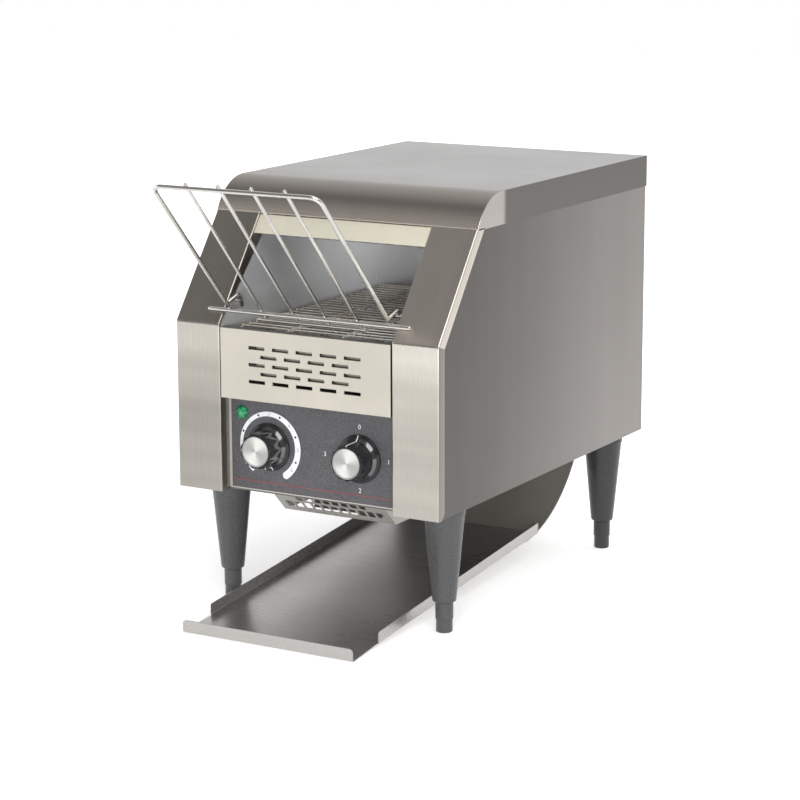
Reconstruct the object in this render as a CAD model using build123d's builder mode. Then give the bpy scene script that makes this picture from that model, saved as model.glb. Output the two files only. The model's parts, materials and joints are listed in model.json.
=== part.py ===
from build123d import *
import os
from math import asin, atan2, cos, degrees, pi, radians, sin, sqrt

# Countertop conveyor toaster. Millimetres, +Z up, front towards -Y, right-hand side +X.
# Depths run back from the front face of the posts, heights up from the counter.

# ---- Body shell ---------------------------------------------------------------------------
body_half_width = 136.0  # outer faces of the post returns and of the cover
body_depth = 418.0  # outer face of the rear panel
body_bottom = 115.0
control_window = 87.6  # from the body's bottom up to the vent panel
vent_panel_height = 64.0
knee_over_vent = 2.4
slope_rise = 91.0  # from the knee, where the upright posts start to lean back, to the cover
shoulder_depth = 69.5  # where the leaning posts meet the cover
cover_height = 30.0
cover_nose_radius = 49.0
cover_lip = 8.0
sheet = 1.0
running_gap = 0.3  # between pieces that move against each other
shaft_gap = 0.05  # radial, shafts in their bushes

# ---- Front posts --------------------------------------------------------------------------
post_width = 46.8
outer_return = 10.0
inner_return = 14.0
flange_foot = 2.5  # the sloping inner flange widens from its foot to its head
flange_head = 18.0
post_hole_radius = 1.3
post_hole_rises = (16.0, 48.0, 74.0)  # over the body's bottom
flange_hole_radius = 1.9
flange_hole_along = 87.0
strip_height = 16.0  # cross strip under the cover
strip_behind = 1.4

# ---- Vent panel and control panel ---------------------------------------------------------
vent_gap = 1.2  # beside the posts
vent_return = 9.0
slot_length = 17.0
slot_height = 3.0
slot_pitch = 24.8
slot_row_pitch = 7.7
slot_rows = 5
slots_long_row = 5
slots_below_top = 15.8  # top row, from the vent panel's upper edge
vent_leaf_depth = 4.0  # back of the leaf that hangs behind the slots
control_rise = 1.5  # of the control panel over the body's bottom
overlay_margin = 2.7  # beside the posts
overlay_rise = 2.8  # over the body's bottom
overlay_thickness = 0.4
pilot_inset = 14.2  # from the left post
pilot_below_vent = 14.9
pilot_radius = 6.5
pilot_rim = 1.5
pilot_dome = 3.2
pilot_housing_length = 18.0
control_over_shield = 7.0

# ---- Knobs and what they turn -------------------------------------------------------------
speed_inset = 43.2  # from the left post to the knob's axis
mode_inset = 40.7  # from the right post
knob_rise = 43.8  # over the body's bottom
knob_skirt_radius = 22.0
knob_skirt_rim = 4.0
knob_grip_taper = 2.0
knob_length = 22.6
knob_skirt_thickness = 3.2
knob_grip_start = 5.6
knob_flutes = 12
flute_radius = 2.2
flute_outset = 1.2  # of the flutes' axes from the grip
pointer_length = 3.0
pointer_width = 1.6
cap_inset = 1.5
cap_thickness = 1.4
cap_proud = 0.6
knob_recess_radius = 9.5
knob_recess_depth = 4.0
knob_bore_depth = 11.3
control_shaft_radius = 3.0
bushing_wall = 1.55
nut_width = 12.0
nut_thickness = 2.4
speed_pointer_angle = 228.0  # counter-clockwise from the right, at rest
mode_pointer_angle = 90.0
potentiometer_radius = 12.0
potentiometer_length = 11.0
switch_size = 30.0
switch_corner = 5.0
switch_length = 24.0

# ---- Conveyor -----------------------------------------------------------------------------
belt_below_knee = 4.0  # top of the carrying run
rung_diameter = 2.0
belt_pitch = 11.3
roller_teeth = 12
straight_rungs = 22
link_width = 2.0
belt_wall_gap = 3.7
belt_front_gap = 6.2  # behind the vent panel
conveyor_shaft_radius = 4.0
sprocket_width = 3.0
tooth_width = 3.0
tooth_height = 2.6
bush_wall = 2.45
bush_rim = 2.5
bush_flange = 1.5
bush_length = 6.0
shaft_overhang = 3.0  # past the bushes

# ---- Drive --------------------------------------------------------------------------------
chain_sprocket_radius = 15.0
chain_sprocket_teeth = 12
chain_sprocket_width = 3.0
chain_tooth = 2.0  # width and height
chain_gap = 6.3  # from the gearbox
chain_thickness = 4.0
chain_width = 5.0
motor_behind_roller = 66.4
motor_below_roller = 42.2
motor_can_drop = 50.0  # below the motor's output shaft
motor_shaft_radius = 4.0
gearbox_radius = 26.0
gearbox_length = 14.0
motor_can_radius = 22.0
motor_side_gap = 2.8  # from the side panel

# ---- Heating ------------------------------------------------------------------------------
tube_radius = 5.0
tube_wall = 1.0
coil_gap = 1.6
tube_overhang = 4.0  # past the inner walls
cap_length = 10.0
ceramic_wall = 3.0
toasting_height = 76.0  # from the belt to the axes of the upper tubes
upper_tubes = 4
upper_tube_front_inset = 70.0  # from the front roller's axis
upper_tube_back_inset = 28.6  # from the rear roller's axis
lower_tubes = 3
lower_tube_inset = 28.0  # from the ends of the lower reflector
lower_tube_rise = 4.8  # over the rollers' axes
upper_reflector_gap = 11.0  # from the axes of the tubes
lower_reflector_gap = 17.0
reflector_lip = 8.0
reflector_post_gap = 2.0  # behind the flanges of the posts
reflector_overhang = 21.4  # of the upper reflector past the rear roller's axis
reflector_roller_gap = 9.2  # of the lower reflector between the rollers
shield_gap = 12.3  # under the belt
shield_overhang = 12.4  # past the rear roller's axis

# ---- Fan and its guard --------------------------------------------------------------------
fan_size = 80.0
fan_corner = 5.0
fan_height = 25.0
fan_bore = 38.0
fan_depth = 115.0
blade_gap = 2.5
hub_radius = 14.0
hub_height = 16.0
hub_plate = 3.0
hub_arm = 6.0
blades = 7
blade_chord = 15.0
blade_angle = 38.0
blade_thickness = 1.5
fan_pin_radius = 1.5
guard_half_width = 59.0
guard_front = 32.0
guard_drop = 25.5
guard_run = 26.8
guard_overhang = 5.0  # behind the fan
guard_hole = (7.6, 10.6)
guard_hole_corner = 1.2
guard_hole_pitch = 9.5
guard_rows = ((12.7, 8), (25.2, 11))  # distance down the slope, number of holes

# ---- Toast chute and tray -----------------------------------------------------------------
chute_wall_gap = 5.2  # from the inner walls
chute_radius = 143.0
chute_rear_gap = 24.0
chute_foot_height = 28.0  # lowest point of its curve over the counter
chute_back_height = 57.0  # its upright part
chute_lip_angle = 5.0
tray_side_gap = 0.7  # inside the posts
tray_front = -67.0
tray_on_chute = 32.0  # behind the lowest point of the chute
tray_wall = 11.0
tray_open_front = 44.0  # of the floor before its side walls
tray_lip = 11.5
tray_lip_corner = 5.0
tray_wall_corner = 8.0

# ---- Bread rack ---------------------------------------------------------------------------
frame_wire = 2.0  # radii
bread_wire = 1.5
rack_lean = 43.1  # degrees from the vertical, towards the front
rack_length = 167.7  # from the long bar to the top bar
rack_side_gap = 6.2  # inside the posts
rack_corner = 9.0
frame_rise = 2.5  # of the rack's frame over the long bar, on the side of the bread
long_bar_along = 13.9  # up the sloping posts from the knee
long_bar_rest = 15.8  # of its ends on the posts
short_bar_half = 57.0
short_bar_drop = 9.0  # below the long bar, along the rack
bread_wire_pitch = 33.0
bread_wires = 4
wire_poke = 3.5  # of the bread wires past the top bar
hook_start = 6.0  # above the long bar, along the rack
stud_along = 28.85  # up the sloping posts from the knee
stud_behind = 5.65
stud_radius = 2.0
stud_length = 9.0
hook_tail = 9.0

# ---- Legs and feet ------------------------------------------------------------------------
leg_side_inset = 23.0
leg_front = 51.0
leg_rear_inset = 42.5
leg_top_radius = 18.4
leg_collar = 6.0
leg_collar_radius = 19.0
leg_low_radius = 10.7
leg_low = 28.5
leg_bolt_radius = 4.0
leg_bolt_depth = 15.0
leg_bolt_head = 6.5  # across flats / 2
leg_bolt_head_height = 5.0
foot_neck_radius = 8.15
foot_pad_radius = 7.5
foot_pad_height = 12.0
foot_stem_radius = 5.0
foot_stem_gap = 0.08
foot_stem_length = 40.0

# ---- Rear --------------------------------------------------------------------------------
gland_inset = 24.0  # from the body's left face
gland_rise = 35.0  # over the body's bottom
gland_hex = 12.0
gland_hex_length = 7.0
gland_dome_radius = 10.0
gland_length = 16.0
gland_bore = 4.0
gland_thread = 8.0
gland_tail = 9.0
louvre_length = 26.0
louvre_height = 3.5
louvre_pitch = (36.0, 9.0)
louvre_columns = 5
louvre_rows = 7
louvre_rise = 25.0  # middle row over the belt
terminal_block_size = (22.0, 52.0, 18.0)
terminal_rear_gap = 88.0  # from its middle
terminal_poles = 4
terminal_hole_radius = 2.75
terminal_hole_depth = 6.0
screw_radius = 2.0
screw_head_radius = 3.8
screw_head = 2.2
screw_length = 8.0
rear_screw_inset = 18.0
rear_screw_rise = 11.0

# ---- Derived places -----------------------------------------------------------------------
vent_low = body_bottom + control_window
vent_high = vent_low + vent_panel_height
knee_height = vent_high + knee_over_vent
shoulder_height = knee_height + slope_rise
top_height = shoulder_height + cover_height
post_inner = body_half_width - post_width
wall_inner = post_inner + sheet
wall_outer = wall_inner + sheet
side_outer = body_half_width - sheet
side_inner = side_outer - sheet
floor_top = body_bottom + sheet
control_front = inner_return
control_back = control_front + sheet
overlay_front = control_front - overlay_thickness
rear_face = body_depth - sheet  # inner face of the rear panel

slope_length = sqrt(shoulder_depth**2 + slope_rise**2)
slope_run_share = shoulder_depth / slope_length
slope_rise_share = slope_rise / slope_length

speed_x = speed_inset - post_inner
mode_x = post_inner - mode_inset
pilot_x = pilot_inset - post_inner
knob_height = body_bottom + knob_rise
pilot_height = vent_low - pilot_below_vent
pilot_hole_radius = pilot_radius - pilot_rim

belt_height = knee_height - belt_below_knee
pitch_radius = belt_pitch / (2 * sin(pi / roller_teeth))
belt_inner_radius = pitch_radius - rung_diameter / 2
belt_outer_radius = pitch_radius + rung_diameter / 2
roller_height = belt_height - belt_outer_radius
front_roller_depth = sheet + belt_front_gap + belt_outer_radius
rear_roller_depth = front_roller_depth + straight_rungs * belt_pitch
belt_half_width = wall_inner - belt_wall_gap
bay_pitch = (2 * belt_half_width - link_width) / 3  # between the rows of links
shield_height = roller_height - belt_outer_radius - shield_gap
shield_back = rear_roller_depth + shield_overhang

leg_x = body_half_width - leg_side_inset
leg_back = body_depth - leg_rear_inset
chute_half_width = wall_inner - chute_wall_gap
chute_back = body_depth - chute_rear_gap
chute_axis_depth = chute_back - chute_radius
chute_axis_height = chute_foot_height + chute_radius
gland_x = gland_inset - body_half_width
gland_height = body_bottom + gland_rise
rear_screw_places = [
    (x, body_bottom + rear_screw_rise)
    for x in (rear_screw_inset - body_half_width, 0, body_half_width - rear_screw_inset)
]

lean_depth = -sin(radians(rack_lean))
lean_height = cos(radians(rack_lean))

rear_reach = body_depth + gland_length


def on_slope(along, behind):
    """Depth and height of a point `along` the sloping front and `behind` its outer face."""
    return (
        slope_run_share * along + slope_rise_share * behind,
        knee_height + slope_rise_share * along - slope_run_share * behind,
    )


def slope_at(height, behind):
    """The point at a height on the line that runs `behind` the sloping front."""
    along = (height - knee_height + slope_run_share * behind) / slope_rise_share
    return on_slope(along, behind)


def knee_at(behind):
    """Where the lines `behind` the upright and the sloping front meet."""
    return on_slope(behind * (1 - slope_rise_share) / slope_run_share, behind)


long_bar = on_slope(long_bar_along, -frame_wire - running_gap)


def on_rack(along, over):
    """Depth and height of a point up the rack from the long bar and `over` it, bread side."""
    return (
        long_bar[0] + lean_depth * along + lean_height * over,
        long_bar[1] + lean_height * along - lean_depth * over,
    )


front_reach = frame_wire - on_rack(rack_length, frame_rise)[0]
front_y = (front_reach - rear_reach) / 2  # the posts' front face; Y = 0 is mid-way overall


def side_plane(x):
    """Sketch plane at x: first coordinate is the depth, second the height; +X is up from it."""
    return Plane(origin=(x, front_y, 0), x_dir=(0, 1, 0), z_dir=(1, 0, 0))


def front_plane(depth):
    """Upright plane at a depth: coordinates are x and height; its normal faces the front."""
    return Plane(origin=(0, front_y + depth, 0), x_dir=(1, 0, 0), z_dir=(0, -1, 0))


def level_plane(height):
    """Level plane at a height: coordinates are x and depth; its normal is up."""
    return Plane(origin=(0, front_y, height), x_dir=(1, 0, 0), z_dir=(0, 0, 1))


def at(x, point):
    """A point in space from x and a (depth, height) pair."""
    return (x, front_y + point[0], point[1])


def outline(points):
    """Adds the filled polygon through the points to the sketch that is being made."""
    Polygon(*points, align=None)


def mirrored(piece):
    """The left-hand twin of a right-hand piece."""
    with BuildPart() as twin:
        mirror(piece.part, about=Plane.YZ)
    return twin


def save(piece, name):
    piece.part.label = name
    export_step(piece.part, f"parts/{name}.step")


os.makedirs("parts", exist_ok=True)

# ---- Side panels: flat sheets behind the returns of the posts and under the cover -----------
nose_depth = shoulder_depth + sqrt(
    cover_nose_radius**2 - (cover_nose_radius - top_height + shoulder_height) ** 2
)
side_outline = [
    (sheet, body_bottom),
    knee_at(sheet),
    slope_at(shoulder_height - sheet, sheet),
    (nose_depth, top_height - sheet),
    (body_depth, top_height - sheet),
    (body_depth, body_bottom),
]
with BuildPart() as side_panel_right:
    with BuildSketch(side_plane(side_inner)):
        outline(side_outline)
    extrude(amount=sheet)
save(side_panel_right, "side_panel_right")
save(mirrored(side_panel_right), "side_panel_left")

# ---- Front posts: folded sheet, upright below the knee and leaning back above it -------------
with BuildPart() as front_post_right:
    with BuildSketch(side_plane(post_inner)):
        outline(
            [
                (0, body_bottom),
                (0, knee_height),
                slope_at(shoulder_height, 0),
                slope_at(shoulder_height, sheet),
                knee_at(sheet),
                (sheet, body_bottom),
            ]
        )
    extrude(amount=post_width)
    with BuildSketch(side_plane(side_outer)):
        outline(
            [
                (0, body_bottom),
                (0, knee_height),
                slope_at(shoulder_height, 0),
                slope_at(shoulder_height, outer_return),
                knee_at(outer_return),
                (outer_return, body_bottom + outer_return / 2),
                (outer_return / 2, body_bottom),
            ]
        )
    extrude(amount=sheet)
    with BuildSketch(side_plane(post_inner)):
        outline(
            [
                (0, body_bottom),
                (0, knee_height),
                on_slope(0, flange_foot),
                (inner_return, knee_height - inner_return),
                (inner_return, body_bottom),
            ]
        )
        outline(
            [
                on_slope(0, 0),
                slope_at(shoulder_height, 0),
                slope_at(shoulder_height, flange_head),
                on_slope(0, flange_foot),
            ]
        )
        with Locations(*[(inner_return / 2, body_bottom + rise) for rise in post_hole_rises]):
            Circle(post_hole_radius, mode=Mode.SUBTRACT)
        with Locations(on_slope(flange_hole_along, flange_head / 2)):
            Circle(flange_hole_radius, mode=Mode.SUBTRACT)
    extrude(amount=sheet)
save(front_post_right, "front_post_right")
save(mirrored(front_post_right), "front_post_left")


# ---- Top cover: one folded sheet with a rounded nose, cheeks, a rear flange and a front lip ---
def cover_outline(inset, low):
    """Draws the cover's side view, `inset` from its outer faces and down to the height `low`."""
    radius = cover_nose_radius - inset
    centre = (nose_depth, top_height - cover_nose_radius)
    end_angle = asin(
        sqrt(radius**2 - (shoulder_height - centre[1]) ** 2) / radius
    )  # from the top of the nose

    def nose(angle):
        return (centre[0] - radius * sin(angle), centre[1] + radius * cos(angle))

    rear = body_depth + sheet - inset
    with BuildLine() as border:
        ThreePointArc(nose(end_angle), nose(end_angle / 2), nose(0))
        Polyline(
            nose(0),
            (rear, top_height - inset),
            (rear, low),
            (nose(end_angle)[0], low),
            nose(end_angle),
        )
    make_face(border.edges())


with BuildPart() as top_cover:
    with BuildSketch(side_plane(0)):
        cover_outline(0, shoulder_height - sheet)
    extrude(amount=body_half_width, both=True)
    with BuildSketch(side_plane(0)):
        cover_outline(sheet, shoulder_height - 2 * sheet)
    extrude(amount=side_outer, both=True, mode=Mode.SUBTRACT)
    with BuildSketch(level_plane(shoulder_height)):
        with Locations((0, (shoulder_depth + body_depth) / 2)):
            Rectangle(4 * body_half_width, 4 * body_depth)
    extrude(amount=-2 * sheet, mode=Mode.SUBTRACT)
    with BuildSketch(level_plane(shoulder_height)):
        with Locations((0, shoulder_depth + sheet / 2)):
            Rectangle(2 * post_inner - sheet, cover_lip, align=(Align.CENTER, Align.MIN))
    extrude(amount=sheet)
save(top_cover, "top_cover")

# ---- Rear panel: between the side panels, with louvres and the hole of the cord gland ---------
with BuildPart() as rear_panel:
    with BuildSketch(front_plane(body_depth)):
        with Locations((0, (body_bottom + top_height - sheet) / 2)):
            Rectangle(2 * side_inner, top_height - sheet - body_bottom)
        with Locations((0, belt_height + louvre_rise)):
            with GridLocations(*louvre_pitch, louvre_columns, louvre_rows):
                SlotOverall(louvre_length, louvre_height, mode=Mode.SUBTRACT)
        with Locations((gland_x, gland_height)):
            Circle(gland_thread, mode=Mode.SUBTRACT)
        with Locations(*rear_screw_places):
            Circle(screw_radius, mode=Mode.SUBTRACT)
    extrude(amount=sheet)
save(rear_panel, "rear_panel")

# ---- Base plate: open over the chute and over the fan ----------------------------------------
leg_places = [
    (side * leg_x, depth) for depth in (leg_front, leg_back) for side in (-1, 1)
]
with BuildPart() as base_plate:
    with BuildSketch(level_plane(body_bottom)):
        with Locations((0, (sheet + rear_face) / 2)):
            Rectangle(2 * side_inner, rear_face - sheet)
        with Locations((0, 0)):
            Rectangle(
                2 * wall_inner,
                control_back,
                align=(Align.CENTER, Align.MIN),
                mode=Mode.SUBTRACT,
            )
        with Locations((0, shield_back)):
            Rectangle(
                2 * chute_half_width + 2 * sheet,
                chute_back + 2 * sheet - shield_back,
                align=(Align.CENTER, Align.MIN),
                mode=Mode.SUBTRACT,
            )
        with Locations((0, fan_depth)):
            Circle(fan_bore, mode=Mode.SUBTRACT)
        with Locations(*leg_places):
            Circle(leg_bolt_radius, mode=Mode.SUBTRACT)
    extrude(amount=sheet)
save(base_plate, "base_plate")

# ---- Inner walls: the sides of the toasting tunnel, which carry shafts, tubes and rack ---------
upper_tube_height = belt_height + toasting_height
upper_reflector_height = upper_tube_height + upper_reflector_gap
upper_reflector_back = rear_roller_depth + reflector_overhang
lower_tube_height = roller_height + lower_tube_rise
lower_reflector_height = lower_tube_height - lower_reflector_gap
lower_reflector_front = front_roller_depth + belt_outer_radius + reflector_roller_gap
lower_reflector_back = rear_roller_depth - belt_outer_radius - reflector_roller_gap


def evenly(low, high, count):
    """`count` values from low to high, the same distance apart."""
    return [low + (high - low) * index / (count - 1) for index in range(count)]


upper_tube_depths = evenly(
    front_roller_depth + upper_tube_front_inset,
    rear_roller_depth - upper_tube_back_inset,
    upper_tubes,
)
lower_tube_depths = evenly(
    lower_reflector_front + lower_tube_inset,
    lower_reflector_back - lower_tube_inset,
    lower_tubes,
)
wall_top = upper_reflector_height + sheet
tube_places = [(depth, upper_tube_height) for depth in upper_tube_depths]
tube_places += [(depth, lower_tube_height) for depth in lower_tube_depths]
bush_radius = conveyor_shaft_radius + shaft_gap + bush_wall
roller_places = [
    (front_roller_depth, roller_height),
    (rear_roller_depth, roller_height),
]
with BuildPart() as inner_wall_right:
    with BuildSketch(side_plane(wall_inner)):
        outline(
            [
                (sheet, floor_top),
                knee_at(sheet),
                slope_at(wall_top, sheet),
                (rear_face, wall_top),
                (rear_face, floor_top),
            ]
        )
        with Locations(*roller_places):
            Circle(bush_radius, mode=Mode.SUBTRACT)
        with Locations(*tube_places):
            Circle(tube_radius, mode=Mode.SUBTRACT)
        with Locations(on_slope(flange_hole_along, flange_head / 2)):
            Circle(flange_hole_radius, mode=Mode.SUBTRACT)
        with Locations((rear_roller_depth, belt_height + 2 * slot_height)):
            SlotOverall(
                2 * slot_height, slot_height / 2, rotation=90, mode=Mode.SUBTRACT
            )
    extrude(amount=sheet)
save(inner_wall_right, "inner_wall_right")
save(mirrored(inner_wall_right), "inner_wall_left")

# ---- Cross strip: leans with the posts above the bread entry -----------------------------------
with BuildPart() as cross_strip:
    with BuildSketch(side_plane(0)):
        outline(
            [
                slope_at(shoulder_height - strip_height, strip_behind),
                slope_at(shoulder_height - running_gap, strip_behind),
                slope_at(shoulder_height - running_gap, strip_behind + sheet),
                slope_at(shoulder_height - strip_height, strip_behind + sheet),
            ]
        )
    extrude(amount=post_inner, both=True)
save(cross_strip, "cross_strip")

# ---- Reflectors and heat shield, fixed between the inner walls ---------------------------------
with BuildPart() as upper_reflector:
    with BuildSketch(side_plane(0)):
        low = upper_reflector_height - reflector_lip
        high = upper_reflector_height + sheet
        upper_reflector_front = slope_at(high, flange_head)[0] + reflector_post_gap
        outline(
            [
                (upper_reflector_front, low),
                (upper_reflector_front, high),
                (upper_reflector_back, high),
                (upper_reflector_back, low),
                (upper_reflector_back - sheet, low),
                (upper_reflector_back - sheet, upper_reflector_height),
                (upper_reflector_front + sheet, upper_reflector_height),
                (upper_reflector_front + sheet, low),
            ]
        )
    extrude(amount=wall_inner, both=True)
save(upper_reflector, "upper_reflector")

with BuildPart() as lower_reflector:
    with BuildSketch(side_plane(0)):
        high = lower_reflector_height + reflector_lip
        outline(
            [
                (lower_reflector_front, high),
                (lower_reflector_front, lower_reflector_height),
                (lower_reflector_back, lower_reflector_height),
                (lower_reflector_back, high),
                (lower_reflector_back - sheet, high),
                (lower_reflector_back - sheet, lower_reflector_height + sheet),
                (lower_reflector_front + sheet, lower_reflector_height + sheet),
                (lower_reflector_front + sheet, high),
            ]
        )
    extrude(amount=wall_inner, both=True)
save(lower_reflector, "lower_reflector")

with BuildPart() as heat_shield:
    with BuildSketch(side_plane(0)):
        outline(
            [
                (control_back, shield_height),
                (shield_back, shield_height),
                (shield_back, floor_top),
                (shield_back - sheet, floor_top),
                (shield_back - sheet, shield_height - sheet),
                (control_back, shield_height - sheet),
            ]
        )
    extrude(amount=wall_inner, both=True)
save(heat_shield, "heat_shield")


# ---- Heating tubes: quartz tube, coil inside it and a ceramic cap at each end ------------------
tube_bore = tube_radius - tube_wall
with BuildPart() as quartz_tubes:
    with BuildSketch(side_plane(0)):
        with Locations(*tube_places):
            Circle(tube_radius)
            Circle(tube_bore, mode=Mode.SUBTRACT)
    extrude(amount=wall_outer + tube_overhang, both=True)
save(quartz_tubes, "quartz_tubes")

with BuildPart() as heating_coils:
    with BuildSketch(side_plane(0)):
        with Locations(*tube_places):
            Circle(tube_bore - coil_gap)
    extrude(amount=wall_outer + tube_overhang, both=True)
save(heating_coils, "heating_coils")

with BuildPart() as tube_end_caps:
    for side in (-1, 1):
        with BuildSketch(side_plane(side * wall_outer)):
            with Locations(*tube_places):
                Circle(tube_radius + ceramic_wall)
        extrude(amount=side * cap_length)
        with BuildSketch(side_plane(side * wall_outer)):
            with Locations(*tube_places):
                Circle(tube_radius)
        extrude(amount=side * tube_overhang, mode=Mode.SUBTRACT)
save(tube_end_caps, "tube_end_caps")

# ---- Vent panel: slotted sheet across the front, folded back on all four edges, with a leaf
# behind all slots but the last row and the left end of the first column ------------------------
vent_half_width = post_inner - vent_gap
leaf_left = -(slots_long_row - 1) * slot_pitch / 2 - vent_leaf_depth / 2
leaf_low = vent_high - slots_below_top - (slot_rows - 1.5) * slot_row_pitch
with BuildPart() as vent_panel:
    with BuildSketch(front_plane(0)):
        with Locations((0, (vent_low + vent_high) / 2)):
            Rectangle(2 * vent_half_width, vent_high - vent_low)
    extrude(amount=-control_front)
    with BuildSketch(front_plane(sheet)):
        with Locations((0, (vent_low + vent_high) / 2)):
            Rectangle(2 * (vent_half_width - sheet), vent_high - vent_low - 2 * sheet)
    extrude(amount=-control_front, mode=Mode.SUBTRACT)
    with BuildSketch(front_plane(vent_return)):
        with Locations((0, vent_low + sheet)):
            Rectangle(
                2 * body_half_width,
                vent_high - vent_low,
                align=(Align.CENTER, Align.MIN),
            )
    extrude(amount=-control_front, mode=Mode.SUBTRACT)
    with BuildSketch(front_plane(0)):
        for row in range(slot_rows):
            count = slots_long_row - row % 2
            with Locations((0, vent_high - slots_below_top - row * slot_row_pitch)):
                with GridLocations(slot_pitch, slot_pitch, count, 1):
                    Rectangle(slot_length, slot_height)
    extrude(amount=-sheet, mode=Mode.SUBTRACT)
    with BuildSketch(front_plane(vent_leaf_depth)):
        with Locations((leaf_left, leaf_low)):
            Rectangle(
                vent_half_width - leaf_left,
                vent_high - leaf_low,
                align=(Align.MIN, Align.MIN),
            )
    extrude(amount=sheet)
save(vent_panel, "vent_panel")

# ---- Control panel with its printed overlay ----------------------------------------------------
knob_places = [(speed_x, knob_height), (mode_x, knob_height)]
bushing_radius = control_shaft_radius + shaft_gap + bushing_wall
control_top = shield_height + control_over_shield
with BuildPart() as control_panel:
    with BuildSketch(front_plane(control_front)):
        with Locations((0, body_bottom + control_rise)):
            Rectangle(
                2 * wall_inner,
                control_top - body_bottom - control_rise,
                align=(Align.CENTER, Align.MIN),
            )
        with Locations(*knob_places):
            Circle(bushing_radius, mode=Mode.SUBTRACT)
        with Locations((pilot_x, pilot_height)):
            Circle(pilot_hole_radius, mode=Mode.SUBTRACT)
    extrude(amount=-sheet)
save(control_panel, "control_panel")

overlay_low = body_bottom + overlay_rise
overlay_high = vent_low - running_gap
with BuildPart() as control_overlay:
    with BuildSketch(front_plane(control_front)):
        with Locations((0, (overlay_low + overlay_high) / 2)):
            Rectangle(2 * (post_inner - overlay_margin), overlay_high - overlay_low)
        with Locations(*knob_places):
            Circle(knob_recess_radius, mode=Mode.SUBTRACT)
        with Locations((pilot_x, pilot_height)):
            Circle(pilot_hole_radius, mode=Mode.SUBTRACT)
    extrude(amount=overlay_thickness)
save(control_overlay, "control_overlay")

# ---- Pilot lamp: domed lens in front of the panel, lamp housing behind it ----------------------
with BuildPart() as pilot_lens:
    with BuildSketch(front_plane(overlay_front)):
        with Locations((pilot_x, pilot_height)):
            Circle(pilot_radius)
    extrude(amount=pilot_dome)
    fillet(pilot_lens.edges().filter_by(GeomType.CIRCLE).sort_by(Axis.Y)[0], 0.8 * pilot_dome)
    with BuildSketch(front_plane(overlay_front)):
        with Locations((pilot_x, pilot_height)):
            Circle(pilot_hole_radius)
    extrude(amount=-overlay_thickness - sheet)
save(pilot_lens, "pilot_lens")

with BuildPart() as pilot_housing:
    with BuildSketch(front_plane(control_back)):
        with Locations((pilot_x, pilot_height)):
            Circle(pilot_radius)
    extrude(amount=-pilot_housing_length)
save(pilot_housing, "pilot_housing")


# ---- Knobs: fluted grip on a skirt, with a metal cap let into the front -------------------------
knob_back = overlay_front - 2 * running_gap
knob_front = knob_back - knob_length
knob_grip_radius = knob_skirt_radius - knob_skirt_rim
knob_top_radius = knob_grip_radius - knob_grip_taper
cap_radius = knob_top_radius - cap_inset


def knob(x, pointer_angle):
    """Black knob, bored for its shaft and hollow behind for the nut."""
    skirt = knob_skirt_thickness
    with BuildPart() as piece:
        with BuildSketch(
            Plane(
                origin=(x, front_y + knob_back, knob_height),
                x_dir=(1, 0, 0),
                z_dir=(0, 0, 1),
            )
        ):
            with BuildLine():
                Polyline(
                    (0, 0),
                    (knob_skirt_radius, 0),
                    (knob_skirt_radius, -skirt / 2),
                    (knob_skirt_radius - skirt / 2, -skirt),
                    (knob_grip_radius + skirt / 4, -knob_grip_start),
                    (knob_top_radius, sheet - knob_length),
                    (knob_top_radius - sheet, -knob_length),
                    (0, -knob_length),
                    close=True,
                )
            make_face()
        revolve(axis=Axis((x, front_y, knob_height), (0, 1, 0)))
        with BuildSketch(front_plane(knob_front)):
            with Locations((x, knob_height)):
                Circle(cap_radius)
        extrude(amount=-(cap_thickness - cap_proud), mode=Mode.SUBTRACT)
        with BuildSketch(front_plane(knob_front)):
            with Locations((x, knob_height)):
                with PolarLocations(knob_grip_radius + flute_outset, knob_flutes):
                    Circle(flute_radius)
        extrude(amount=-(knob_length - knob_grip_start - sheet), mode=Mode.SUBTRACT)
        with BuildSketch(front_plane(knob_back)):
            with Locations((x, knob_height)):
                Circle(knob_recess_radius)
        extrude(amount=knob_recess_depth, mode=Mode.SUBTRACT)
        with BuildSketch(front_plane(knob_back)):
            with Locations((x, knob_height)):
                Circle(control_shaft_radius)
        extrude(amount=knob_bore_depth, mode=Mode.SUBTRACT)
        pointer_radius = (knob_skirt_radius + knob_grip_radius) / 2
        with BuildSketch(front_plane(knob_back - skirt / 2)):
            with Locations((x, knob_height)):
                with PolarLocations(pointer_radius, 1, start_angle=pointer_angle):
                    Rectangle(pointer_length, pointer_width)
        extrude(amount=skirt)
    return piece


def knob_cap(x):
    """Spun aluminium disc in the front of a knob."""
    with BuildPart() as piece:
        with BuildSketch(front_plane(knob_front - cap_proud)):
            with Locations((x, knob_height)):
                Circle(cap_radius)
        extrude(amount=-cap_thickness)
        rim = piece.edges().filter_by(GeomType.CIRCLE).sort_by(Axis.Y)[0]
        chamfer(rim, cap_proud / 2)
    return piece


def control_shaft(x, back):
    """Shaft from a control's body into its knob."""
    with BuildPart() as piece:
        with BuildSketch(front_plane(knob_back - knob_bore_depth)):
            with Locations((x, knob_height)):
                Circle(control_shaft_radius)
        extrude(amount=-(back - knob_back + knob_bore_depth))
    return piece


def control_body(x, profile, length, shaft_end):
    """Potentiometer or switch behind the panel, with its threaded bushing and shaft bore."""
    with BuildPart() as piece:
        with BuildSketch(front_plane(control_back)):
            with Locations((x, knob_height)):
                add(profile)
        extrude(amount=-length)
        with BuildSketch(front_plane(control_back)):
            with Locations((x, knob_height)):
                Circle(bushing_radius)
        extrude(amount=sheet + nut_thickness)
        with BuildSketch(front_plane(control_front - nut_thickness)):
            with Locations((x, knob_height)):
                Circle(control_shaft_radius + shaft_gap)
        bore_length = shaft_end + running_gap - control_front + nut_thickness
        extrude(amount=-bore_length, mode=Mode.SUBTRACT)
    return piece


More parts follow.
